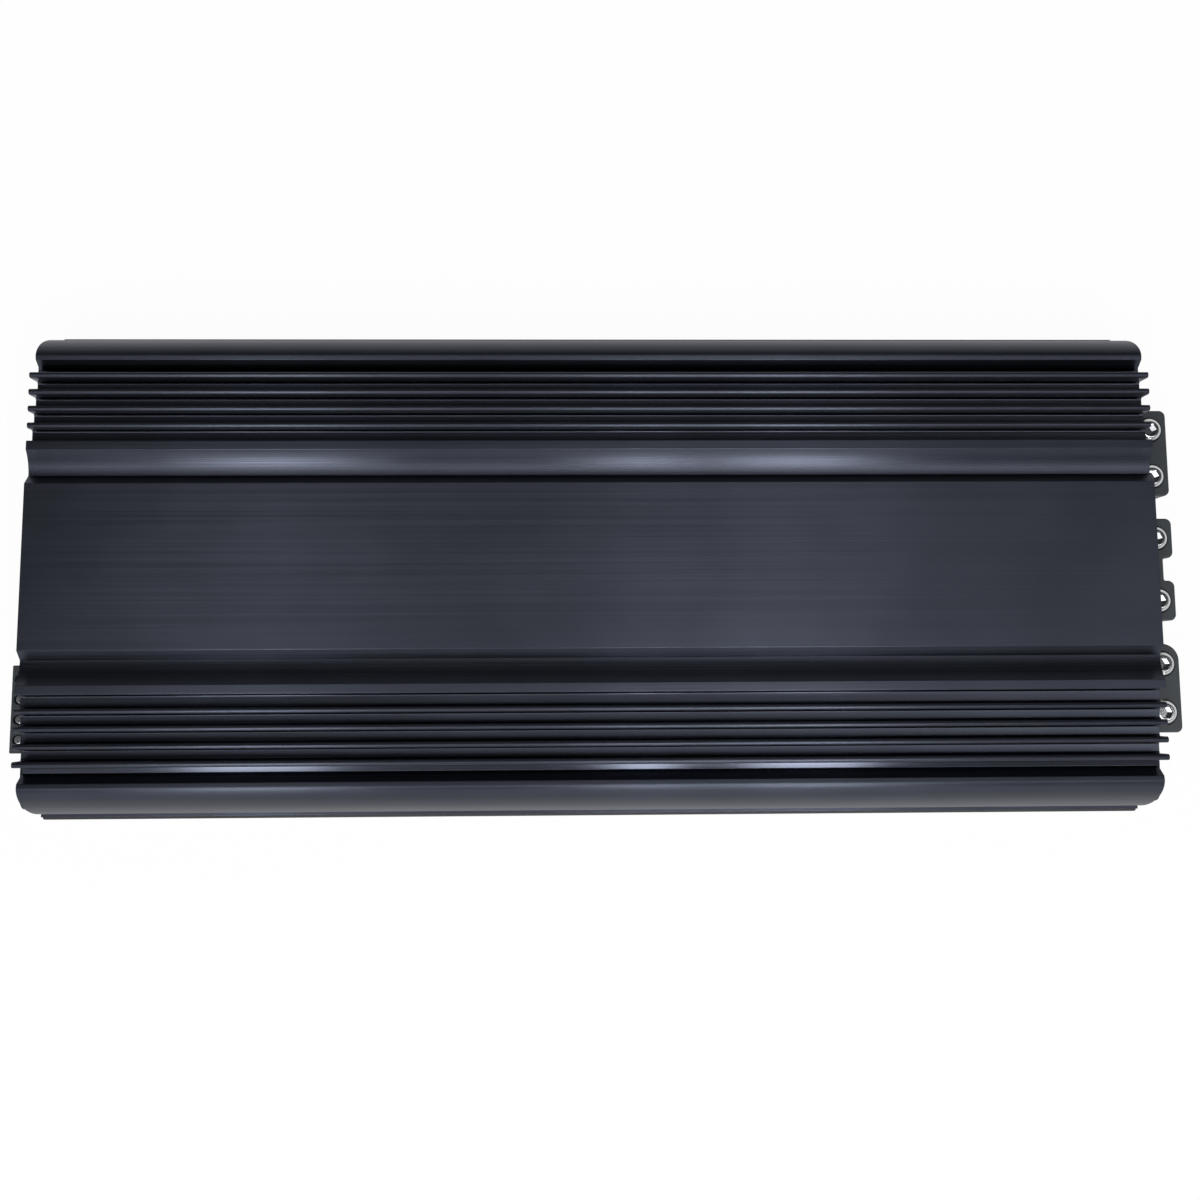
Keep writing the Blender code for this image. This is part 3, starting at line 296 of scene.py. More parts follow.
def swept(outline, start, end, axis, edge, steps=3):
    """Bmesh of an outline carried along X or Z, with the edges of both ends rounded."""
    turns = [math.pi / 2 * k / steps for k in range(steps + 1)]
    eased = [(edge * (1 - math.sin(a)), edge * (1 - math.cos(a))) for a in turns]
    levels = [(drawn, start + rise) for drawn, rise in eased]
    levels += [(drawn, end - rise) for drawn, rise in reversed(eased)]
    rings = []
    for drawn, level in levels:
        ring = inset(outline, drawn)
        if axis == "X":
            rings.append([(level, u, v) for u, v in ring])
        else:
            rings.append([(u, v, level) for u, v in ring])
    return lofted(rings)


def around(radius, height, i, segments):
    """The i-th of the points of a ring about Z."""
    angle = 2 * math.pi * i / segments
    return radius * math.cos(angle), radius * math.sin(angle), height


def turned(profile, segments):
    """Bmesh of a profile of (radius, height) points turned about Z, from axis to axis."""
    shape = bmesh.new()
    rings = []
    for radius, height in profile:
        count = 1 if radius < 1e-9 else segments
        rings.append([shape.verts.new(around(radius, height, i, segments)) for i in range(count)])
    for upper, lower in zip(rings, rings[1:]):
        for i in range(segments):
            j = (i + 1) % segments
            face = (upper[i % len(upper)], lower[i % len(lower)],
                    lower[j % len(lower)], upper[j % len(upper)])
            shape.faces.new(list(dict.fromkeys(face)))
    return shape


def mouthed(radius, depth, flare, segments=None):
    """Bmesh of a cutter for a hole that opens at height 0, with a lead-in."""
    profile = ((0, OVERCUT), (radius + flare + OVERCUT, OVERCUT), (radius, -flare),
               (radius, -depth), (0, -depth))
    return turned(profile, segments or sizes().turned_segments)


def mouthed_slot(low, high, face, depth, flare):
    """Bmesh of a cutter for a square hole, as (Y, Z) corners, that opens towards -X at face."""
    rings = []
    for x, grow in ((face - OVERCUT, flare + OVERCUT), (face + flare, 0), (face + depth, 0)):
        ring = rectangle((low[0] - grow, low[1] - grow), (high[0] + grow, high[1] + grow), 0)
        rings.append([(x, u, v) for u, v in ring])
    return lofted(rings)


def box(low, high):
    """Bmesh of a plain box, for cutters and unions."""
    return lofted([[(u, v, z) for u, v in rectangle(low[:2], high[:2], 0)] for z in (low[2], high[2])])


def placed(shape, location, direction="Z"):
    """The shape moved to a location, with its own Z turned to +X, -X or -Z if asked."""
    turns = {"Z": 0, "X": math.pi / 2, "-X": -math.pi / 2, "-Z": math.pi}
    turn = Matrix.Rotation(turns[direction], 3, "Y")
    bmesh.ops.rotate(shape, verts=shape.verts, cent=(0, 0, 0), matrix=turn)
    bmesh.ops.translate(shape, verts=shape.verts, vec=location)
    return shape


def gathered(shapes):
    """One bmesh that holds all the shapes."""
    whole = bmesh.new()
    for shape in shapes:
        bmesh.ops.recalc_face_normals(shape, faces=shape.faces)
        part = bpy.data.meshes.new("part")
        shape.to_mesh(part)
        shape.free()
        whole.from_mesh(part)
        bpy.data.meshes.remove(part)
    return whole


def combined(shape, tool, operation="DIFFERENCE"):
    """The shape with a tool cut away or joined, as a new bmesh."""
    items = []
    for name, part in (("whole", shape), ("tool", tool)):
        bmesh.ops.recalc_face_normals(part, faces=part.faces)
        mesh = bpy.data.meshes.new(name)
        part.to_mesh(mesh)
        part.free()
        item = bpy.data.objects.new(name, mesh)
        bpy.context.scene.collection.objects.link(item)
        items.append(item)
    modifier = items[0].modifiers.new("combined", "BOOLEAN")
    modifier.operation = operation
    modifier.solver = "EXACT"
    modifier.object = items[1]
    graph = bpy.context.evaluated_depsgraph_get()
    result = bmesh.new()
    result.from_mesh(items[0].evaluated_get(graph).to_mesh())
    for item in items:
        mesh = item.data
        bpy.data.objects.remove(item)
        bpy.data.meshes.remove(mesh)
    return result


def add_piece(name, shape, material, body, replaced=(), sharp=40):
    """Object from a bmesh, smooth but for its sharp edges, that rides on a CAD body."""
    bmesh.ops.recalc_face_normals(shape, faces=shape.faces)
    mesh = bpy.data.meshes.new(name)
    shape.to_mesh(mesh)
    shape.free()
    mesh.materials.append(material)
    mesh.shade_smooth()
    mesh.set_sharp_from_angle(angle=math.radians(sharp))
    piece = bpy.data.objects.new(name, mesh)
    bpy.context.scene.collection.objects.link(piece)
    even = piece.modifiers.new("even_shading", "WEIGHTED_NORMAL")
    even.keep_sharp = True
    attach(piece, body)
    if replaced:
        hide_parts(*replaced)
    return piece


def middle(node):
    """Middle of a CAD node's box."""
    low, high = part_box(node)
    return (low + high) / 2


def dress(material, *nodes):
    """Give CAD nodes that keep their shape a finish."""
    for name in nodes:
        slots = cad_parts[name].data.materials
        slots.clear()
        slots.append(material)


# Finishes


def add_node(tree, kind, inputs=None, **settings):
    """Add a node with its settings; an input that is a socket is linked, any other is set."""
    node = tree.nodes.new(kind)
    for name, value in settings.items():
        setattr(node, name, value)
    for key, value in (inputs or {}).items():
        if isinstance(value, bpy.types.NodeSocket):
            tree.links.new(value, node.inputs[key])
        else:
            node.inputs[key].default_value = value
    return node


def mapped(tree, value, start, end, **settings):
    """Socket with a value carried from one range to another, and held inside it."""
    return add_node(tree, "ShaderNodeMapRange", {
        "Value": value, "From Min": start[0], "From Max": start[1],
        "To Min": end[0], "To Max": end[1]}, **settings).outputs[0]


def reckoned(tree, operation, *values, **settings):
    """Socket with the result of one sum."""
    inputs = dict(enumerate(values))
    return add_node(tree, "ShaderNodeMath", inputs, operation=operation, **settings).outputs[0]


def noise(tree, place, scale, detail, roughness=0.5):
    """Socket with a noise of that scale."""
    return add_node(tree, "ShaderNodeTexNoise", {
        "Vector": place, "Scale": scale, "Detail": detail, "Roughness": roughness}).outputs["Fac"]


def shaded(tree, colour, shade):
    """Socket with a colour multiplied by a shade."""
    return add_node(tree, "ShaderNodeMix", {0: 1.0, 6: (*colour, 1.0), 7: shade},
                    data_type="RGBA", blend_type="MULTIPLY").outputs[2]


def raised(tree, height, strength, depth):
    """Socket with the normal of a surface in relief."""
    return add_node(tree, "ShaderNodeBump", {
        "Height": height, "Strength": strength, "Distance": depth}).outputs["Normal"]


def wired(tree, shader, **sockets):
    """Link sockets to the shader's inputs of the same names."""
    for name, socket in sockets.items():
        tree.links.new(socket, shader.inputs[name.replace("_", " ").title()])


def finish(name, make):
    """The material of that name, made by make(tree, shader) the first time."""
    material = bpy.data.materials.get(name)
    if material is None:
        material = bpy.data.materials.new(name)
        material.use_nodes = True
        tree = material.node_tree
        make(tree, tree.nodes["Principled BSDF"])
    return material


def set_shader(shader, colour, roughness, metallic=0.0, **others):
    """Set the plain values of a finish on its shader."""
    shader.inputs["Base Color"].default_value = (*colour, 1.0)
    shader.inputs["Roughness"].default_value = roughness
    shader.inputs["Metallic"].default_value = metallic
    for name, value in others.items():
        shader.inputs[name.replace("_", " ").title()].default_value = value


def brushed_anodised_aluminium():
    """Extruded aluminium, brushed along its length, then anodised and dyed blue-black."""
    def make(tree, shader):
        # The brushing stretches reflections across its lines, and the dye leaves them dark and cool.
        dye = colours().anodised
        set_shader(shader, dye, 0.32, 1.0, anisotropic=0.92)
        place = add_node(tree, "ShaderNodeTexCoord").outputs["Object"]
        # Real lines are about 0.1 mm wide; they are drawn wider so that the render can show them.
        across = 1 / sizes().brush_spacing
        along = 1 / sizes().brush_length
        stroke = add_node(tree, "ShaderNodeMapping", {"Vector": place, "Scale": (along, across, across)})
        lines = noise(tree, stroke.outputs["Vector"], 1.0, 3.0, 0.6)
        # Dye takes a little unevenly, over tens of millimetres.
        clouds = noise(tree, place, 1 / DYE_CLOUD, 2.0)
        shade = mapped(tree, reckoned(tree, "ADD", lines, clouds), (0.75, 1.25), (0.91, 1.09))
        # The brush reaches the upper faces and the rails; the grooves stay as smooth as the die left them.
        spot = add_node(tree, "ShaderNodeSeparateXYZ", {0: place}).outputs
        upper = mapped(tree, spot["Z"], BRUSHED_HEIGHTS, BRUSHED_SHARE)
        rail = mapped(tree, reckoned(tree, "ABSOLUTE", spot["Y"]), BRUSHED_RAIL, BRUSHED_SHARE)
        reached = reckoned(tree, "MAXIMUM", upper, rail)
        matt = reckoned(tree, "MULTIPLY", mapped(tree, lines, (0.38, 0.62), (0.29, 0.35)), reached)
        grain = add_node(tree, "ShaderNodeTangent", direction_type="RADIAL", axis="X")
        wired(tree, shader, base_color=shaded(tree, dye, shade), roughness=matt,
              normal=raised(tree, lines, 0.1, 0.02 * MM), tangent=grain.outputs["Tangent"])
    return finish("brushed_anodised_aluminium", make)


def grained(name, colour, roughness, grain, depth, metallic=0.0, spread=0.08, **others):
    """A finish with an even fine grain: its size and depth in metres, and a spread of roughness."""
    def make(tree, shader):
        set_shader(shader, colour, roughness, metallic, **others)
        place = add_node(tree, "ShaderNodeTexCoord").outputs["Object"]
        pits = noise(tree, place, 1 / grain, 3.0, 0.55)
        patches = noise(tree, place, 1 / (25 * grain), 2.0)
        shade = mapped(tree, patches, NOISE_RANGE, (0.9, 1.1))
        matt = mapped(tree, pits, NOISE_RANGE, (max(0.02, roughness - spread), roughness + spread))
        wired(tree, shader, base_color=shaded(tree, colour, shade), roughness=matt,
              normal=raised(tree, pits, 0.5, depth))
    return finish(name, make)


def blasted_anodised_aluminium():
    """Sheet aluminium, bead blasted and anodised black: even, matt and faintly sparkling."""
    return grained("blasted_anodised_aluminium", colours().end_plate, 0.45, 0.5 * MM, 0.03 * MM, 1.0)


def powder_coated_steel():
    """Steel sheet under a black powder coat: a soft gloss over a fine orange peel of 0.8 mm."""
    return grained("powder_coated_steel", colours().coated, 0.48, 0.8 * MM, 0.05 * MM)


def moulded_nylon():
    """Glass filled nylon, moulded in a spark eroded tool: dull, with a grain of 0.35 mm."""
    return grained("moulded_nylon", colours().moulding, 0.5, 0.35 * MM, 0.04 * MM)


def moulded_abs():
    """Black ABS with a fine satin grain."""
    return grained("moulded_abs", colours().black, 0.42, 0.3 * MM, 0.02 * MM)


def chromed_steel():
    """Steel, turned and chrome plated: near a mirror, with faint haze."""
    return grained("chromed_steel", colours().chrome, 0.1, 0.9 * MM, 0.004 * MM, 1.0, 0.04)


def nickel_plated_brass():
    """Brass, machined and nickel plated: warm and bright, softer than chrome."""
    return grained("nickel_plated_brass", colours().nickel, 0.22, 0.6 * MM, 0.006 * MM, 1.0, 0.06)


def black_zinc_steel():
    """Steel screws in black zinc: dark, with a soft metallic gleam."""
    return grained("black_zinc_steel", colours().zinc, 0.36, 0.4 * MM, 0.01 * MM, 1.0)


def screen_print():
    """Screen printed ink: flat, pale and a little uneven in cover."""
    return grained("screen_print", colours().ink, 0.6, 0.25 * MM, 0.004 * MM)


def tinted_lens():
    """Clear tinted epoxy of a lamp: smooth and glassy, with depth to its colour."""
    return grained("tinted_lens", colours().lens, 0.08, 0.6 * MM, 0.002 * MM, 0.0, 0.03,
                   transmission_weight=0.6)


def solder_mask():
    """Epoxy glass board under green solder mask: tracks 1.5 mm apart show as a lighter pattern."""
    def make(tree, shader):
        green = colours().mask
        set_shader(shader, green, 0.35)
        place = add_node(tree, "ShaderNodeTexCoord").outputs["Object"]
        cells = add_node(tree, "ShaderNodeTexVoronoi", {"Vector": place, "Scale": 1 / (6 * MM)},
                         distance="MANHATTAN", feature="F1")
        track = reckoned(tree, "PINGPONG", cells.outputs["Distance"], 4.0)
        step = mapped(tree, track, (0.45, 0.55), (0.8, 1.5))
        wired(tree, shader, base_color=shaded(tree, green, step),
              normal=raised(tree, step, 0.4, 0.035 * MM))
    return finish("solder_mask", make)


def enamelled_copper():
    """Enamelled copper wire, wound on a ring: ridges that fan out from the ring's middle, each with a painted
    highlight on its crest and painted shade between turns.
    """
    def make(tree, shader):
        copper = linear("#b8683a")
        set_shader(shader, copper, 0.3, 1.0)
        place = add_node(tree, "ShaderNodeTexCoord").outputs["Generated"]
        centred = add_node(tree, "ShaderNodeMapping", {"Vector": place, "Location": (-0.5, -0.5, 0)})
        fan = add_node(tree, "ShaderNodeTexGradient", {"Vector": centred.outputs["Vector"]},
                       gradient_type="RADIAL")
        turns = reckoned(tree, "MULTIPLY", fan.outputs["Fac"], COIL_TURNS * 2 * math.pi)
        ridge = reckoned(tree, "SINE", turns)
        # Painted highlight and painted shade: the copper colour runs from 0.35 to 1 across each turn, dark in
        # the creases between turns and bright on the crests.
        shade = mapped(tree, ridge, (-1.0, 1.0), (0.35, 1.0))
        wired(tree, shader, base_color=shaded(tree, copper, shade),
              normal=raised(tree, ridge, 0.6, 0.3 * MM))
    return finish("enamelled_copper", make)


# Pieces


def heatsink_section():
    """Section of the heatsink, anticlockwise, with every corner rounded as a die leaves it."""
    top = CAD_BOX[1].z
    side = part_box("heatsink_body")[1].y - FLANGE[0]
    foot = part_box("heatsink_body")[0].z
    edge = sizes().extrusion_edge
    root = sizes().root_round
    half = [(PLATEAU_HALF, top, edge)]
    chord = Vector((COVE_LIP - COVE_FOOT[0], top - COVE_FOOT[1]))
    radius = (chord.length ** 2 / 4 + COVE_HOLLOW ** 2) / (2 * COVE_HOLLOW)
    sweep = 2 * math.asin(chord.length / 2 / radius)
    start = math.atan2(chord.y, chord.x) - math.pi / 2 - sweep / 2
    centre = Vector(COVE_FOOT) - radius * Vector((math.cos(start), math.sin(start)))
    for k in range(25):
        angle = start + sweep * k / 24
        spot = centre + radius * Vector((math.cos(angle), math.sin(angle)))
        half.append((spot.x, spot.y, edge if k == 24 else 0))
    half.append((LIP_EDGE, top, edge))
    half.append((LIP_EDGE, top - FLOOR_DEPTH, root))
    for i in range(FIN_COUNT):
        near = FIN_START + i * FIN_PITCH
        far = near + FIN_THICKNESS
        tip = FIN_THICKNESS / 2 - 0.02 * MM
        half.append((near, top - FLOOR_DEPTH - i * FLOOR_STEP, root))
        half.append((near, top, tip))
        half.append((far, top, tip))
        half.append((far, top - FLOOR_DEPTH - (i + 1) * FLOOR_STEP, root))
    half.append((*VALLEY, edge))
    half.append((*RAIL_START, edge))
    for k in range(33):
        angle = math.pi / 2 * k / 32
        across = 1 - max(0, math.sin(angle)) ** (2 / RAIL_ROUND_POWER)
        up = max(0, math.cos(angle)) ** (2 / RAIL_ROUND_POWER)
        half.append((side - (side - RAIL_CREST[0]) * across,
                     SIDE_WALL_TOP + (RAIL_CREST[1] - SIDE_WALL_TOP) * up, 0))
    reach, thickness = FLANGE
    half += [(side, foot + thickness, 0.25 * MM), (side + reach, foot + thickness, 0.4 * MM),
             (side + reach, foot, 0.4 * MM)]
    under, over, width = BOARD_LEDGE
    half += [(LEG_INNER, foot, 0.3 * MM), (LEG_INNER, under, 0.3 * MM), (LEG_INNER - width, under, 0.3 * MM),
             (LEG_INNER - width, over, 0.3 * MM), (LEG_INNER, over, 0.3 * MM), (LEG_INNER, ROOF, root),
             (BAY[0], ROOF, edge), (BAY[0], BAY[1], root)]
    mirrored = [(-y, z, radius) for y, z, radius in reversed(half)]
    return list(reversed(rounded(half + mirrored, 5)))


def hex_cutter(flats, depth, flare):
    """Bmesh of a cutter for a hex socket that opens at height 0."""
    return mouthed(flats / math.sqrt(3), depth, flare, 6)


class AMPLIFIER_OT_heatsink(bpy.types.Operator):
    """Make the finned heatsink, with rounded die lines and sawn ends"""
    bl_idname = "amplifier.heatsink"
    bl_label = "Heatsink"

    def execute(self, context):
        low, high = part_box("heatsink_body")
        shape = swept(heatsink_section(), low.x, high.x, "X", sizes().saw_edge, 2)
        holes = []
        for i in range(4):
            for end, face, way in (("input", low.x, "-X"), ("power", high.x, "X")):
                spot = middle(f"{end}_plate_screw_{i + 1}")
                hole = mouthed(PLATE_HOLE, 10.4 * MM, 0.2 * MM, 24)
                holes.append(placed(hole, (face, spot.y, spot.z), way))
            spot = middle(f"bottom_plate_screw_{i + 1}")
            hole = mouthed(PLATE_HOLE, 9 * MM, 0.2 * MM, 24)
            holes.append(placed(hole, (spot.x, spot.y, low.z), "-Z"))
        shape = combined(shape, gathered(holes))
        add_piece("heatsink_body_detail", shape, brushed_anodised_aluminium(), CHASSIS,
                  ["heatsink_body"], 30)
        return {"FINISHED"}


class AMPLIFIER_OT_plates(bpy.types.Operator):
    """Make the bottom plate and the two end plates"""
    bl_idname = "amplifier.plates"
    bl_label = "Plates"

    def execute(self, context):
        self.bottom_plate()
        for name in ("input_end_plate", "power_end_plate"):
            self.end_plate(name)
        return {"FINISHED"}

    def bottom_plate(self):
        low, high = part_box("bottom_plate")
        outline = rectangle(low, high, 1.2 * MM)
        shape = swept(outline, low.z, high.z, "Z", sizes().sheet_edge * 1.6)
        holes = []
        for i in range(4):
            spot = middle(f"bottom_plate_screw_{i + 1}")
            holes.append(placed(mouthed(PLATE_HOLE, 4 * MM, 1.7 * MM, 32), (spot.x, spot.y, 0), "-Z"))
        shape = combined(shape, gathered(holes))
        add_piece("bottom_plate_detail", shape, powder_coated_steel(), CHASSIS,
                  ["bottom_plate"])

    def end_plate(self, name):
        low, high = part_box(name)
        shoulder = ROOF + PLATE_OVERLAP
        tongue = BAY[0] + PLATE_OVERLAP
        corners = [(low.y, low.z, 0.5 * MM), (high.y, low.z, 0.5 * MM), (high.y, shoulder, PLATE_CORNER),
                   (tongue, shoulder, 1.0 * MM), (tongue, high.z, 1.5 * MM), (-tongue, high.z, 1.5 * MM),
                   (-tongue, shoulder, 1.0 * MM), (low.y, shoulder, PLATE_CORNER)]
        shape = swept(rounded(corners, 6), low.x, high.x, "X", sizes().sheet_edge)
        shape = combined(shape, gathered(self.openings(name, low, high)))
        add_piece(f"{name}_detail", shape, blasted_anodised_aluminium(), CHASSIS, [name])

    def openings(self, name, low, high):
        """Cutters for everything that passes through an end plate."""
        def window(inner, outer, room):
            return box((low.x - OVERCUT, inner.y - room, inner.z - room),
                       (high.x + OVERCUT, outer.y + room, outer.z + room))

        def hole(node, radius, segments=40):
            spot = middle(node)
            drill = ((0, OVERCUT), (radius, OVERCUT), (radius, -3 * OVERCUT), (0, -3 * OVERCUT))
            return placed(turned(drill, segments), (high.x, spot.y, spot.z), "X")

        end = name.split("_")[0]
        cutters = [hole(f"{end}_plate_screw_{i + 1}", PLATE_HOLE, 24) for i in range(4)]
        if end == "power":
            return cutters + [window(*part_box(f"{terminal}_terminal_housing"), ROOM) for terminal in TERMINALS]
        cutters.append(window(*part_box("remote_jack"), ROOM))
        cutters.append(window(*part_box("input_terminal_block"), -BLOCK_LAP))
        cutters += [hole(f"signal_jack_sleeve_{i}", JACK_HOLE) for i in (1, 2)]
        cutters += [hole(control, CONTROL_HOLE) for control in CONTROLS]
        cutters.append(hole("power_lamp", LAMP_HOLE))
        spot = middle("phase_switch_slider")
        half = Vector((0, *SWITCH_SLOT))
        cutters.append(window(spot - half, spot + half, 0))
        return cutters


class AMPLIFIER_OT_plate_screws(bpy.types.Operator):
    """Make the button head screws of the end plates and the sunk screws of the bottom plate"""
    bl_idname = "amplifier.plate_screws"
    bl_label = "Plate screws"

    def execute(self, context):
        for end, way in (("input", "-X"), ("power", "X")):
            for i in range(4):
                self.button_head(f"{end}_plate_screw_{i + 1}", way)
        for i in range(4):
            self.sunk_head(f"bottom_plate_screw_{i + 1}")
        return {"FINISHED"}

    def button_head(self, node, way):
        low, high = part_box(node)
        face = high.x if way == "X" else low.x
        length = high.x - low.x
        profile = rounded([(0, 0, 0), (1.5 * MM, 0, 0.5 * MM), (2.7 * MM, -0.7 * MM, 0.8 * MM),
                           (3.0 * MM, -1.8 * MM, 0.15 * MM), (1.5 * MM, -1.8 * MM, 0),
                           (1.5 * MM, -length + 0.5 * MM, 0), (1.1 * MM, -length, 0),
                           (0, -length, 0)], 4, False)
        shape = combined(turned(profile, 32), hex_cutter(2 * MM, 1.2 * MM, 0.12 * MM))
        spot = middle(node)
        add_piece(f"{node}_detail", placed(shape, (face, spot.y, spot.z), way), black_zinc_steel(), CHASSIS,
                  [node])

    def sunk_head(self, node):
        low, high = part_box(node)
        length = high.z - low.z
        profile = rounded([(0, 0, 0), (3.2 * MM, 0, 0.12 * MM), (1.5 * MM, -1.7 * MM, 0),
                           (1.5 * MM, -length + 0.5 * MM, 0), (1.1 * MM, -length, 0),
                           (0, -length, 0)], 3, False)
        shape = combined(turned(profile, 32), hex_cutter(2 * MM, 0.85 * MM, 0.12 * MM))
        spot = middle(node)
        add_piece(f"{node}_detail", placed(shape, (spot.x, spot.y, low.z), "-Z"), black_zinc_steel(), CHASSIS,
                  [node])


class AMPLIFIER_OT_terminal_housings(bpy.types.Operator):
    """Make the moulded housings of the power, speaker and ground terminals"""
    bl_idname = "amplifier.terminal_housings"
    bl_label = "Terminal housings"

    def execute(self, context):
        for name in TERMINALS:
            self.housing(name)
        return {"FINISHED"}

    def outline(self, name, low, high, back):
        """Plan of a housing, anticlockwise from its back."""
        corner, large_corner = HOUSING_CORNERS
        if name == "speaker":
            web = high.x - WEB_SETBACK
            upper = middle("speaker_set_screw_1").y - TOWER_HALF
            lower = middle("speaker_set_screw_2").y + TOWER_HALF
            return rounded([(back, low.y, 0), (high.x, low.y, corner), (high.x, lower, corner),
                            (web, lower, 1 * MM), (web, upper, 1 * MM), (high.x, upper, corner),
                            (high.x, high.y, corner), (back, high.y, 0)], 8)
        inner = large_corner if name == "ground" else corner
        return rounded([(back, low.y, 0), (high.x, low.y, corner), (high.x, high.y, inner),
                        (back, high.y, 0)], 10)

    def housing(self, name):
        node = f"{name}_terminal_housing"
        low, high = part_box(node)
        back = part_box("power_end_plate")[0].x
        shape = swept(self.outline(name, low, high, back), low.z, high.z, "Z", sizes().moulded_edge, 4)
        bars = [f"{name}_terminal_bar_1", f"{name}_terminal_bar_2"]
        if name != "speaker":
            bars = [f"{name}_terminal_bar"]
        pockets = []
        for bar in bars:
            inner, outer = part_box(bar)
            pockets.append(box((back - 2 * OVERCUT, inner.y - ROOM, inner.z - ROOM),
                               (outer.x + ROOM, outer.y + ROOM, outer.z + ROOM)))
        shape = combined(shape, gathered(pockets))
        flare = sizes().mouth_flare
        entries, wells, marks = [], [], []
        bar_low, bar_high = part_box(bars[0])
        for i, sign in enumerate(POLARITY[name]):
            spot = middle(f"{name}_set_screw_{i + 1}")
            entry = mouthed(*WIRE_ENTRY, flare * 1.6)
            entries.append(placed(entry, (high.x, spot.y, bar_low.z + WIRE_LIFT), "X"))
            well = mouthed(SCREW_WELL, high.z - bar_high.z, flare)
            wells.append(placed(well, (spot.x, spot.y, high.z)))
            marks.append(self.mark(sign, high.x, spot.y, high.z - MARK_DROP))
        shape = combined(shape, gathered(entries))
        shape = combined(shape, gathered(wells))
        shape = combined(shape, gathered(marks), "UNION")
        add_piece(node + "_detail", shape, moulded_nylon(), CHASSIS, [node])

    def mark(self, sign, face, y, z):
        """Bmesh of a raised plus or minus on a housing's front."""
        reach, half = 2.0 * MM, 0.45 * MM
        corners = [(-reach, -half), (reach, -half), (reach, half), (-reach, half)]
        if sign == "+":
            corners = [(-reach, -half), (-half, -half), (-half, -reach), (half, -reach), (half, -half),
                       (reach, -half), (reach, half), (half, half), (half, reach), (-half, reach),
                       (-half, half), (-reach, half)]
        outline = [Vector((y + u, z + v)) for u, v in corners]
        return swept(outline, face - 1 * MM, face + 0.4 * MM, "X", 0.12 * MM, 2)


class AMPLIFIER_OT_terminal_metal(bpy.types.Operator):
    """Make the plated bars that take the wires, and the pads that press on them"""
    bl_idname = "amplifier.terminal_metal"
    bl_label = "Terminal bars and pads"

    def execute(self, context):
        for name in ("power_terminal_bar", "speaker_terminal_bar_1", "speaker_terminal_bar_2",
                     "ground_terminal_bar"):
            self.bar(name)
        for terminal in TERMINALS:
            for i in (1, 2):
                self.pad(f"{terminal}_clamp_pad_{i}")
        return {"FINISHED"}

    def bar(self, node):
        low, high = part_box(node)
        outline = rectangle((low.y, low.z), (high.y, high.z), 0.8 * MM)
        shape = swept(outline, low.x, high.x, "X", 0.4 * MM)
        terminal = node.split("_")[0]
        bores, holes = [], []
        for i in (1, 2):
            spot = middle(f"{terminal}_set_screw_{i}")
            if low.y < spot.y < high.y:
                bore = mouthed(WIRE_BORE, WIRE_BORE_DEPTH, 0.4 * MM)
                bores.append(placed(bore, (high.x, spot.y, low.z + WIRE_LIFT), "X"))
                holes.append(placed(mouthed(THREAD_HOLE, 8 * MM, 0.5 * MM), (spot.x, spot.y, high.z)))
        shape = combined(shape, gathered(bores))
        shape = combined(shape, gathered(holes))
        add_piece(f"{node}_detail", shape, nickel_plated_brass(), CHASSIS, [node])

    def pad(self, node):
        low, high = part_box(node)
        radius = (high.y - low.y) / 2
        half = (high.z - low.z) / 2
        profile = rounded([(0, half, 0), (radius, half, 0.25 * MM), (radius, -half, 0.25 * MM),
                           (radius - 0.6 * MM, -half, 0), (radius - 0.9 * MM, -half + 0.25 * MM, 0),
                           (0, -half + 0.25 * MM, 0)], 3, False)
        shape = placed(turned(profile, sizes().turned_segments), middle(node))
        add_piece(f"{node}_detail", shape, nickel_plated_brass(), node, [node])


class AMPLIFIER_OT_set_screws(bpy.types.Operator):
    """Make the chromed clamp screws, with crowned heads, hex sockets and cut threads"""
    bl_idname = "amplifier.set_screws"
    bl_label = "Clamp screws"

    def execute(self, context):
        for terminal in TERMINALS:
            for i in (1, 2):
                self.screw(f"{terminal}_set_screw_{i}")
        return {"FINISHED"}

    def screw(self, node):
        low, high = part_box(node)
        head = (high.y - low.y) / 2
        length = high.z - low.z
        profile = rounded([(0, 0, 0), (3.9 * MM, 0, 1.2 * MM), (head, -1.3 * MM, 0.7 * MM),
                           (head, -SCREW_HEAD, 0.3 * MM), (THREAD_RADII[0], -SCREW_HEAD, 0)], 5, False)
        shape = combined(self.with_thread(profile, -SCREW_HEAD, -length), hex_cutter(*SCREW_SOCKET))
        spot = middle(node)
        shape = placed(shape, (spot.x, spot.y, high.z))
        add_piece(f"{node}_detail", shape, chromed_steel(), node, [node])

    def with_thread(self, profile, top, tip):
        """Bmesh of a head's profile turned about Z, over a right-handed thread that fades at both ends."""
        root, crest = THREAD_RADII
        pitch = sizes().thread_pitch
        segments = sizes().turned_segments
        loops = [[around(r, z, i, segments) for i in range(segments)] for r, z in profile[1:]]
        count = round((top - tip) / pitch * THREAD_RINGS)
        for k in range(1, count):
            height = top + (tip - top) * k / count
            fade = min(1.0, (top - height) / pitch, (height - tip) / pitch)
            loop = []
            for i in range(segments):
                phase = (height / pitch - i / segments) % 1.0
                ridge = max(0.0, min(1.0, 1.5 - 5 * abs(phase - 0.5)))
                loop.append(around(root + (crest - root) * ridge * fade, height, i, segments))
            loops.append(loop)
        for radius in (root, root - 0.5 * MM):
            loops.append([around(radius, tip, i, segments) for i in range(segments)])
        return lofted(list(reversed(loops)))


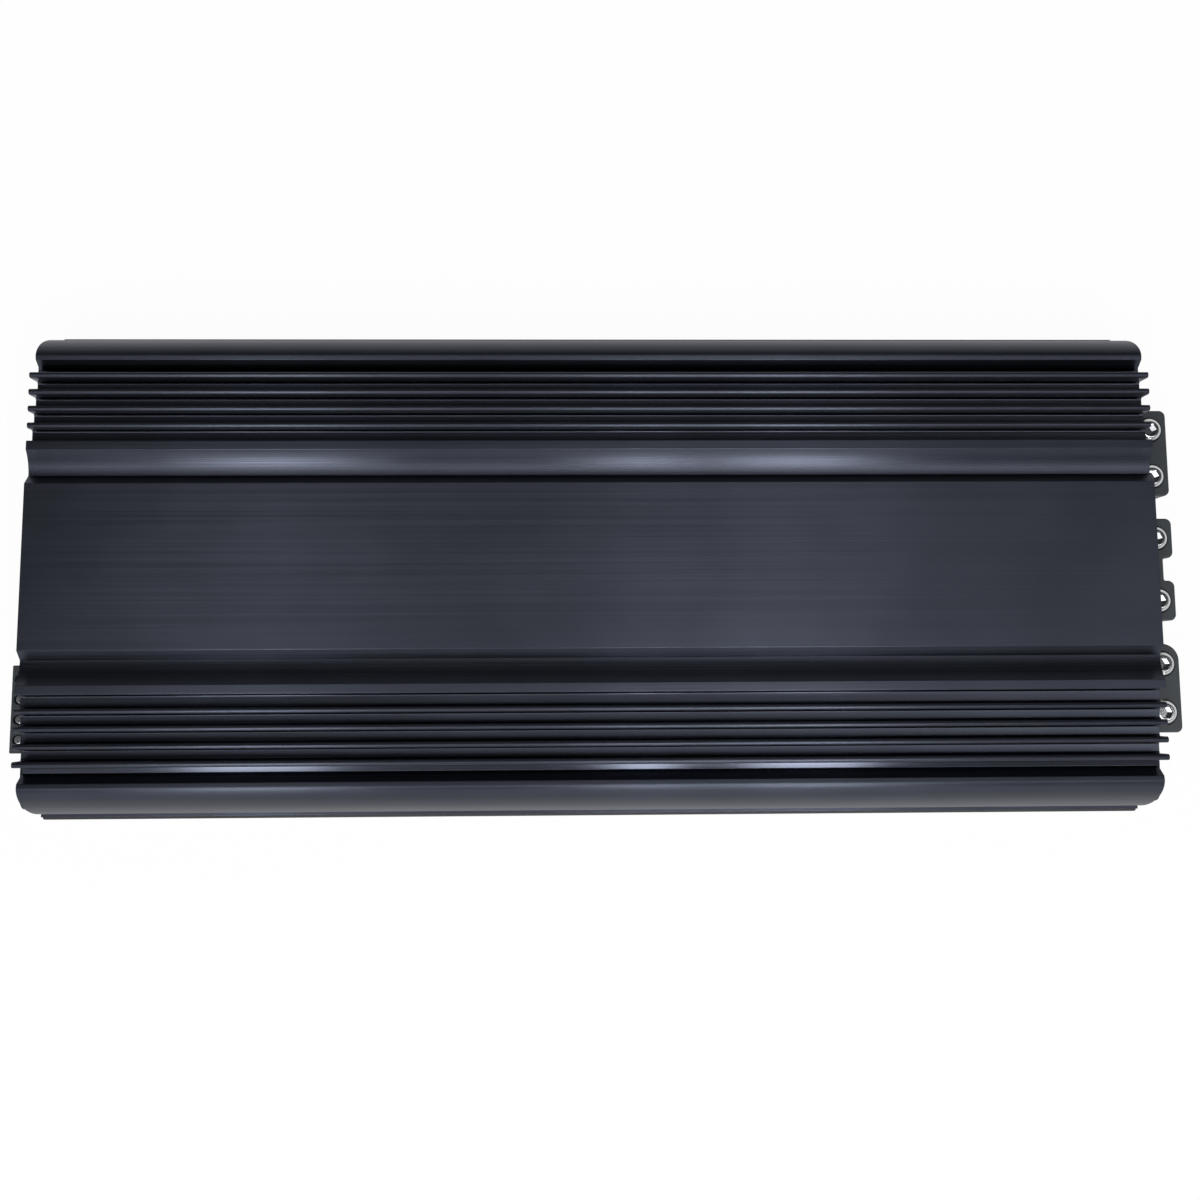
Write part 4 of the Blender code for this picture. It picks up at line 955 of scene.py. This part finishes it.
class AMPLIFIER_OT_input_block(bpy.types.Operator):
    """Make the input terminal block, its wire clamps and its slotted screws"""
    bl_idname = "amplifier.input_block"
    bl_label = "Input terminals"

    def execute(self, context):
        low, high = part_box("input_terminal_block")
        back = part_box("input_end_plate")[0].x - 0.3 * MM
        outline = rectangle((low.x, low.y), (back, high.y), 0.6 * MM)
        shape = swept(outline, low.z, high.z, "Z", sizes().moulded_edge * 0.7)
        lap = 2 * MM
        collar = box((back - 1 * MM, low.y + lap, low.z + lap), (high.x, high.y - lap, high.z - lap))
        shape = combined(shape, collar, "UNION")
        ways = [middle(f"input_terminal_screw_{i + 1}") for i in range(4)]
        entries, wells, lines, clamps = [], [], [], []
        for spot in ways:
            entry_low = (spot.y - 3.1 * MM, low.z + 2 * MM)
            entry_high = (spot.y + 3.1 * MM, low.z + 8 * MM)
            entries.append(mouthed_slot(entry_low, entry_high, low.x, 6.5 * MM, 0.5 * MM))
            wells.append(placed(mouthed(2.4 * MM, 6.2 * MM, 0.35 * MM, 32), (spot.x, spot.y, high.z)))
            clamps.append(self.clamp(entry_low, entry_high, low.x + 1.6 * MM, low.x + 6.2 * MM))
        for near, far in zip(ways, ways[1:]):
            y = (near.y + far.y) / 2
            lines.append(box((low.x - 1 * MM, y - 0.35 * MM, high.z - 0.6 * MM),
                             (back - 0.8 * MM, y + 0.35 * MM, high.z + 1 * MM)))
        shape = combined(shape, gathered(entries))
        shape = combined(shape, gathered(wells))
        shape = combined(shape, gathered(lines))
        add_piece("input_terminal_block_detail", shape, moulded_nylon(), CHASSIS,
                  ["input_terminal_block"])
        add_piece("input_wire_clamps", gathered(clamps), nickel_plated_brass(), CHASSIS)
        for i in range(4):
            self.screw(f"input_terminal_screw_{i + 1}")
        return {"FINISHED"}

    def clamp(self, low, high, start, end):
        """Bmesh of a plated sleeve that lines a wire entry."""
        grow = -0.05 * MM
        wall = 0.45 * MM
        outer = rectangle((low[0] - grow, low[1] - grow), (high[0] + grow, high[1] + grow), 0.5 * MM)
        hollow = rectangle((low[0] - grow + wall, low[1] - grow + wall),
                           (high[0] + grow - wall, high[1] + grow - wall), 0.3 * MM)
        shape = swept(outer, start, end, "X", 0.1 * MM)
        bore = lofted([[(x, u, v) for u, v in hollow] for x in (start - 1 * MM, end - 0.5 * MM)])
        return combined(shape, bore)

    def screw(self, node):
        low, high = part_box(node)
        radius = (high.y - low.y) / 2
        length = high.z - low.z
        profile = rounded([(0, 0, 0), (radius, 0, 0.35 * MM), (radius, -length, 0.2 * MM),
                           (0, -length, 0)], 4, False)
        slot = box((-2 * radius, -0.35 * MM, -0.8 * MM), (2 * radius, 0.35 * MM, 1 * MM))
        cross = box((-0.35 * MM, -1.2 * MM, -0.8 * MM), (0.35 * MM, 1.2 * MM, 1 * MM))
        shape = combined(turned(profile, 40), combined(slot, cross, "UNION"))
        spot = (low + high) / 2
        add_piece(f"{node}_detail", placed(shape, (spot.x, spot.y, high.z)), chromed_steel(), node,
                  [node])


class AMPLIFIER_OT_jacks(bpy.types.Operator):
    """Make the signal jacks and the remote jack"""
    bl_idname = "amplifier.jacks"
    bl_label = "Jacks"

    def execute(self, context):
        for i, colour in ((1, "#8f1d1d"), (2, "#d8d6cf")):
            self.signal_jack(f"signal_jack_sleeve_{i}", colour)
        self.remote_jack()
        dress(moulded_abs(), "signal_jack_housing")
        return {"FINISHED"}

    def signal_jack(self, node, colour):
        low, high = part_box(node)
        spot = middle(node)
        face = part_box("input_end_plate")[0].x
        reach = face - low.x
        back = face - high.x
        sleeve = rounded([(0, back, 0), (4.15 * MM, back, 0), (4.15 * MM, 0.3 * MM, 0),
                          (5.6 * MM, 0.3 * MM, 0.2 * MM), (5.6 * MM, 1.6 * MM, 0.3 * MM),
                          (4.15 * MM, 1.6 * MM, 0.3 * MM), (4.15 * MM, reach, 0.3 * MM),
                          (3.55 * MM, reach, 0.15 * MM), (3.55 * MM, reach - 5 * MM, 0),
                          (0, reach - 5 * MM, 0)], 4, False)
        shape = placed(turned(sleeve, sizes().turned_segments), (face, spot.y, spot.z), "-X")
        add_piece(f"{node}_detail", shape, nickel_plated_brass(), CHASSIS, [node])
        core = rounded([(0, reach - 4.9 * MM, 0), (3.5 * MM, reach - 4.9 * MM, 0),
                        (3.5 * MM, reach - 0.3 * MM, 0.2 * MM), (1.7 * MM, reach - 0.3 * MM, 0.3 * MM),
                        (1.7 * MM, reach - 4 * MM, 0), (0, reach - 4 * MM, 0)], 4, False)
        shape = placed(turned(core, sizes().turned_segments), (face, spot.y, spot.z), "-X")
        plastic = grained("moulded_abs_" + colour[1:], linear(colour), 0.35, 0.3 * MM, 0.01 * MM)
        add_piece(f"{node}_insulator", shape, plastic, CHASSIS)

    def remote_jack(self):
        low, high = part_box("remote_jack")
        outline = rectangle((low.y, low.z), (high.y, high.z), 0.5 * MM)
        shape = swept(outline, low.x, high.x, "X", 0.3 * MM)
        wall = 1.7 * MM
        port = mouthed_slot((low.y + wall, low.z + wall), (high.y - wall, high.z - wall),
                            low.x, 11 * MM, 0.3 * MM)
        spot = (low + high) / 2
        notch = box((low.x - 1 * MM, spot.y - 1.8 * MM, low.z + 0.6 * MM),
                    (low.x + 9 * MM, spot.y + 1.8 * MM, low.z + wall + 1 * MM))
        shape = combined(shape, combined(port, notch, "UNION"))
        add_piece("remote_jack_detail", shape, moulded_abs(), CHASSIS, ["remote_jack"])
        contacts = []
        for k in range(6):
            y = spot.y + (k - 2.5) * 1.27 * MM
            outline = rectangle((y - 0.25 * MM, high.z - wall - 0.9 * MM),
                                (y + 0.25 * MM, high.z - wall), 0.1 * MM, 2)
            contacts.append(swept(outline, low.x + 2.5 * MM, low.x + 10.9 * MM, "X", 0.08 * MM, 2))
        gold = grained("gold_plated_contact", linear("#d9b25a"), 0.2, 0.4 * MM, 0.003 * MM, 1.0)
        add_piece("remote_jack_contacts", gathered(contacts), gold, CHASSIS)


class AMPLIFIER_OT_controls(bpy.types.Operator):
    """Make the turning controls, the slide switch and the power lamp"""
    bl_idname = "amplifier.controls"
    bl_label = "Controls"

    def execute(self, context):
        for node in CONTROLS:
            self.control(node)
        self.switch()
        self.lamp()
        return {"FINISHED"}

    def control(self, node):
        low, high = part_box(node)
        spot = (low + high) / 2
        radius = (high.y - low.y) / 2
        length = high.x - low.x
        profile = rounded([(0, 0, 0), (radius, 0, 0.3 * MM), (radius, -length, 0), (0, -length, 0)], 4, False)
        shape = turned(profile, 40)
        ribs = []
        for k in range(18):
            angle = math.radians(20 * k)
            rib = mouthed(0.22 * MM, 1.2 * MM, 0, 8)
            ribs.append(placed(rib, (radius * math.cos(angle), radius * math.sin(angle), 0)))
        shape = combined(shape, gathered(ribs))
        shape = placed(shape, (low.x, spot.y, spot.z), "-X")
        slot = box((low.x - 1 * MM, spot.y - 0.5 * MM, spot.z - radius / 2),
                   (low.x + 0.9 * MM, spot.y + 0.5 * MM, spot.z + radius + 1 * MM))
        add_piece(f"{node}_detail", combined(shape, slot), moulded_abs(), node, [node])

    def switch(self):
        node = "phase_switch_slider"
        low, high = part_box(node)
        shape = swept(rectangle((low.y, low.z), (high.y, high.z), 0.3 * MM), low.x, high.x, "X", 0.25 * MM)
        grips = []
        for k in (-1, 0, 1):
            y = middle(node).y + k * 0.8 * MM
            grips.append(box((low.x - 1 * MM, y - 0.18 * MM, low.z - 1 * MM),
                             (low.x + 0.35 * MM, y + 0.18 * MM, high.z + 1 * MM)))
        shape = combined(shape, gathered(grips))
        add_piece(f"{node}_detail", shape, moulded_abs(), node, [node])

    def lamp(self):
        low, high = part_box("power_lamp")
        spot = (low + high) / 2
        radius = (high.y - low.y) / 2
        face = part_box("input_end_plate")[0].x
        crown = face - low.x - radius
        dome = [(radius * math.sin(math.pi / 2 * k / 8), crown + radius * math.cos(math.pi / 2 * k / 8))
                for k in range(9)]
        shape = turned(dome + [(radius, face - high.x), (0, face - high.x)], 40)
        add_piece("power_lamp_detail", placed(shape, (face, spot.y, spot.z), "-X"), tinted_lens(), CHASSIS,
                  ["power_lamp"])


class AMPLIFIER_OT_panel_marks(bpy.types.Operator):
    """Print the dial marks and numbers on the input end plate"""
    bl_idname = "amplifier.panel_marks"
    bl_label = "Panel marks"

    def execute(self, context):
        shapes = []
        for node in CONTROLS:
            shapes += self.dial(middle(node))
        spot = middle("phase_switch_slider")
        shapes.append(self.text("0", 2.2 * MM, spot.y + 2.2 * MM, spot.z + 3.8 * MM))
        shapes.append(self.text("180", 2.2 * MM, spot.y - 2.6 * MM, spot.z + 3.8 * MM))
        for i, letter in ((1, "L"), (2, "R")):
            spot = middle(f"signal_jack_sleeve_{i}")
            shapes.append(self.text(letter, 3 * MM, spot.y, spot.z + 8.6 * MM))
        add_piece("input_panel_marks", gathered(shapes), screen_print(), CHASSIS)
        return {"FINISHED"}

    def dial(self, spot):
        """Ticks round a control from one end of its turn to the other, with numbers at both ends."""
        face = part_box("input_end_plate")[0].x
        ticks = []
        for k in range(11):
            angle = math.radians(-140 + 28 * k)
            reach = 1.5 * MM if k % 5 == 0 else 0.9 * MM
            tick = box((-0.05 * MM, -0.13 * MM, 4.0 * MM), (0.03 * MM, 0.13 * MM, 4.0 * MM + reach))
            turn = Matrix.Rotation(angle, 3, "X")
            bmesh.ops.rotate(tick, verts=tick.verts, cent=(0, 0, 0), matrix=turn)
            ticks.append(placed(tick, (face, spot.y, spot.z)))
        ticks.append(self.text("0", 1.8 * MM, spot.y + 4.6 * MM, spot.z - 5.6 * MM))
        ticks.append(self.text("10", 1.8 * MM, spot.y - 4.6 * MM, spot.z - 5.6 * MM))
        return ticks

    def text(self, words, height, y, z):
        """Bmesh of printed characters, centred on a point of the input end plate's face."""
        curve = bpy.data.curves.new("text", "FONT")
        curve.body = words
        curve.size = height / 0.7
        curve.extrude = 0.04 * MM
        curve.align_x = "CENTER"
        curve.align_y = "CENTER"
        curve.resolution_u = 4
        item = bpy.data.objects.new("text", curve)
        bpy.context.scene.collection.objects.link(item)
        graph = bpy.context.evaluated_depsgraph_get()
        shape = bmesh.new()
        shape.from_mesh(item.evaluated_get(graph).to_mesh())
        bpy.data.objects.remove(item)
        bpy.data.curves.remove(curve)
        bmesh.ops.remove_doubles(shape, verts=shape.verts, dist=1e-7)
        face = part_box("input_end_plate")[0].x
        facing = Matrix(((0, 0, -1, face), (-1, 0, 0, y), (0, 1, 0, z), (0, 0, 0, 1)))
        bmesh.ops.transform(shape, matrix=facing, verts=shape.verts)
        return shape


class AMPLIFIER_OT_inner_pieces(bpy.types.Operator):
    """Give the sealed inner pieces their finishes"""
    bl_idname = "amplifier.inner_pieces"
    bl_label = "Inner pieces"

    def execute(self, context):
        dress(solder_mask(), "main_board", "control_board")
        dress(enamelled_copper(), "power_transformer_1", "power_transformer_2", "output_inductor")
        sleeve = grained("shrunk_pvc_sleeve", linear("#1b1c20"), 0.3, 0.8 * MM, 0.01 * MM)
        dress(sleeve, "supply_capacitor_1", "supply_capacitor_2", "supply_capacitor_3")
        milled = grained("milled_aluminium", linear("#c9cbcc"), 0.32, 0.5 * MM, 0.01 * MM, 1.0)
        dress(milled, "transistor_clamp_bar_1", "transistor_clamp_bar_2")
        return {"FINISHED"}


class AMPLIFIER_OT_stage(bpy.types.Operator):
    """Make the pale floor, the soft lights and the camera"""
    bl_idname = "amplifier.stage"
    bl_label = "Studio"

    def execute(self, context):
        self.floor(context)
        self.surroundings(context)
        stage = context.scene.amplifier_stage
        for name, (setting, share, place, target, extent) in LAMPS.items():
            self.lamp(context, name, place, target, extent, getattr(stage, setting) * share)
        self.camera(context)
        context.scene.view_settings.view_transform = "Standard"
        return {"FINISHED"}

    def floor(self, context):
        colour = context.scene.amplifier_stage.floor
        material = bpy.data.materials.new("studio_floor")
        material.use_nodes = True
        tree = material.node_tree
        shader = tree.nodes["Principled BSDF"]
        set_shader(shader, colour, 0.7)
        rays = add_node(tree, "ShaderNodeLightPath").outputs
        seen = reckoned(tree, "ADD", rays["Is Camera Ray"], rays["Is Glossy Ray"])
        seen = reckoned(tree, "ADD", seen, rays["Is Transmission Ray"], use_clamp=True)
        share = reckoned(tree, "MULTIPLY", seen, FLOOR_WHITE)
        white = add_node(tree, "ShaderNodeEmission", {"Color": (1, 1, 1, 1), "Strength": 1.0})
        mixed = add_node(tree, "ShaderNodeMixShader", {
            0: share, 1: shader.outputs[0], 2: white.outputs[0]})
        tree.links.new(mixed.outputs[0], tree.nodes["Material Output"].inputs["Surface"])
        mesh = bpy.data.meshes.new("studio_floor")
        signs = ((-1, -1), (1, -1), (1, 1), (-1, 1))
        corners = [(x * FLOOR_REACH, y * FLOOR_REACH, FLOOR_LEVEL) for x, y in signs]
        mesh.from_pydata(corners, [], [(0, 1, 2, 3)])
        mesh.materials.append(material)
        floor = bpy.data.objects.new("studio_floor", mesh)
        context.scene.collection.objects.link(floor)

    def surroundings(self, context):
        """White walls low down, under a ceiling that is dimmer behind the amplifier than in front."""
        stage = context.scene.amplifier_stage
        world = bpy.data.worlds.new("studio")
        context.scene.world = world
        world.use_nodes = True
        tree = world.node_tree
        toward = add_node(tree, "ShaderNodeTexCoord").outputs["Generated"]
        parts = add_node(tree, "ShaderNodeSeparateXYZ", {0: toward}).outputs
        ceiling = mapped(tree, parts["Y"], CEILING_DEPTHS, (stage.ceiling, stage.ceiling_back),
                         interpolation_type="SMOOTHSTEP")
        rise = mapped(tree, parts["Z"], WALL_HEIGHTS, (1.0, ceiling), interpolation_type="SMOOTHSTEP")
        tree.links.new(rise, tree.nodes["Background"].inputs["Strength"])
        tree.nodes["Background"].inputs["Color"].default_value = (1, 1, 1, 1)

    def lamp(self, context, name, place, target, extent, power):
        data = bpy.data.lights.new(name, "AREA")
        data.shape = "RECTANGLE"
        data.size, data.size_y = extent
        data.energy = power
        lamp = bpy.data.objects.new(name, data)
        lamp.location = place
        lamp.rotation_euler = (Vector(target) - Vector(place)).to_track_quat("-Z", "Y").to_euler()
        context.scene.collection.objects.link(lamp)

    def camera(self, context):
        data = bpy.data.cameras.new("camera")
        data.lens = CAMERA_LENS
        data.sensor_width = CAMERA_SENSOR
        data.shift_x, data.shift_y = CAMERA_SHIFT
        camera = bpy.data.objects.new("camera", data)
        turn = Matrix.Identity(4)
        for degrees, axis in zip(CAMERA_TURN, "XYZ"):
            turn = turn @ Matrix.Rotation(math.radians(degrees), 4, axis)
        camera.matrix_world = Matrix.Translation(CAMERA_PLACE) @ turn
        context.scene.collection.objects.link(camera)
        context.scene.camera = camera


OPERATORS = (AMPLIFIER_OT_heatsink, AMPLIFIER_OT_plates, AMPLIFIER_OT_plate_screws,
             AMPLIFIER_OT_terminal_housings, AMPLIFIER_OT_terminal_metal, AMPLIFIER_OT_set_screws,
             AMPLIFIER_OT_input_block, AMPLIFIER_OT_jacks, AMPLIFIER_OT_controls,
             AMPLIFIER_OT_panel_marks, AMPLIFIER_OT_inner_pieces, AMPLIFIER_OT_stage)


class AMPLIFIER_PT_panel(bpy.types.Panel):
    """Lists the amplifier's settings and the steps that make it"""
    bl_idname = "AMPLIFIER_PT_panel"
    bl_label = "Amplifier"
    bl_space_type = "VIEW_3D"
    bl_region_type = "UI"
    bl_category = "Amplifier"

    def draw(self, context):
        scene = context.scene
        for group in (scene.amplifier_sizes, scene.amplifier_colours, scene.amplifier_stage):
            section = self.layout.box()
            for name in group.__annotations__:
                section.prop(group, name)
        for step in OPERATORS:
            self.layout.operator(step.bl_idname)


GROUPS = {"amplifier_sizes": AmplifierSizes, "amplifier_colours": AmplifierColours,
          "amplifier_stage": AmplifierStage}


def register():
    """Add the settings, the steps and the panel to Blender."""
    for name, group in GROUPS.items():
        bpy.utils.register_class(group)
        setattr(bpy.types.Scene, name, PointerProperty(type=group))
    for item in (*OPERATORS, AMPLIFIER_PT_panel):
        bpy.utils.register_class(item)


def unregister():
    """Take the panel, the steps and the settings out of Blender again."""
    for item in (AMPLIFIER_PT_panel, *reversed(OPERATORS)):
        bpy.utils.unregister_class(item)
    for name, group in GROUPS.items():
        delattr(bpy.types.Scene, name)
        bpy.utils.unregister_class(group)


def main():
    """Register the add-on, and make every piece and the studio."""
    register()
    for step in OPERATORS:
        area, name = step.bl_idname.split(".")
        getattr(getattr(bpy.ops, area), name)()


if __name__ == "__main__":
    main()
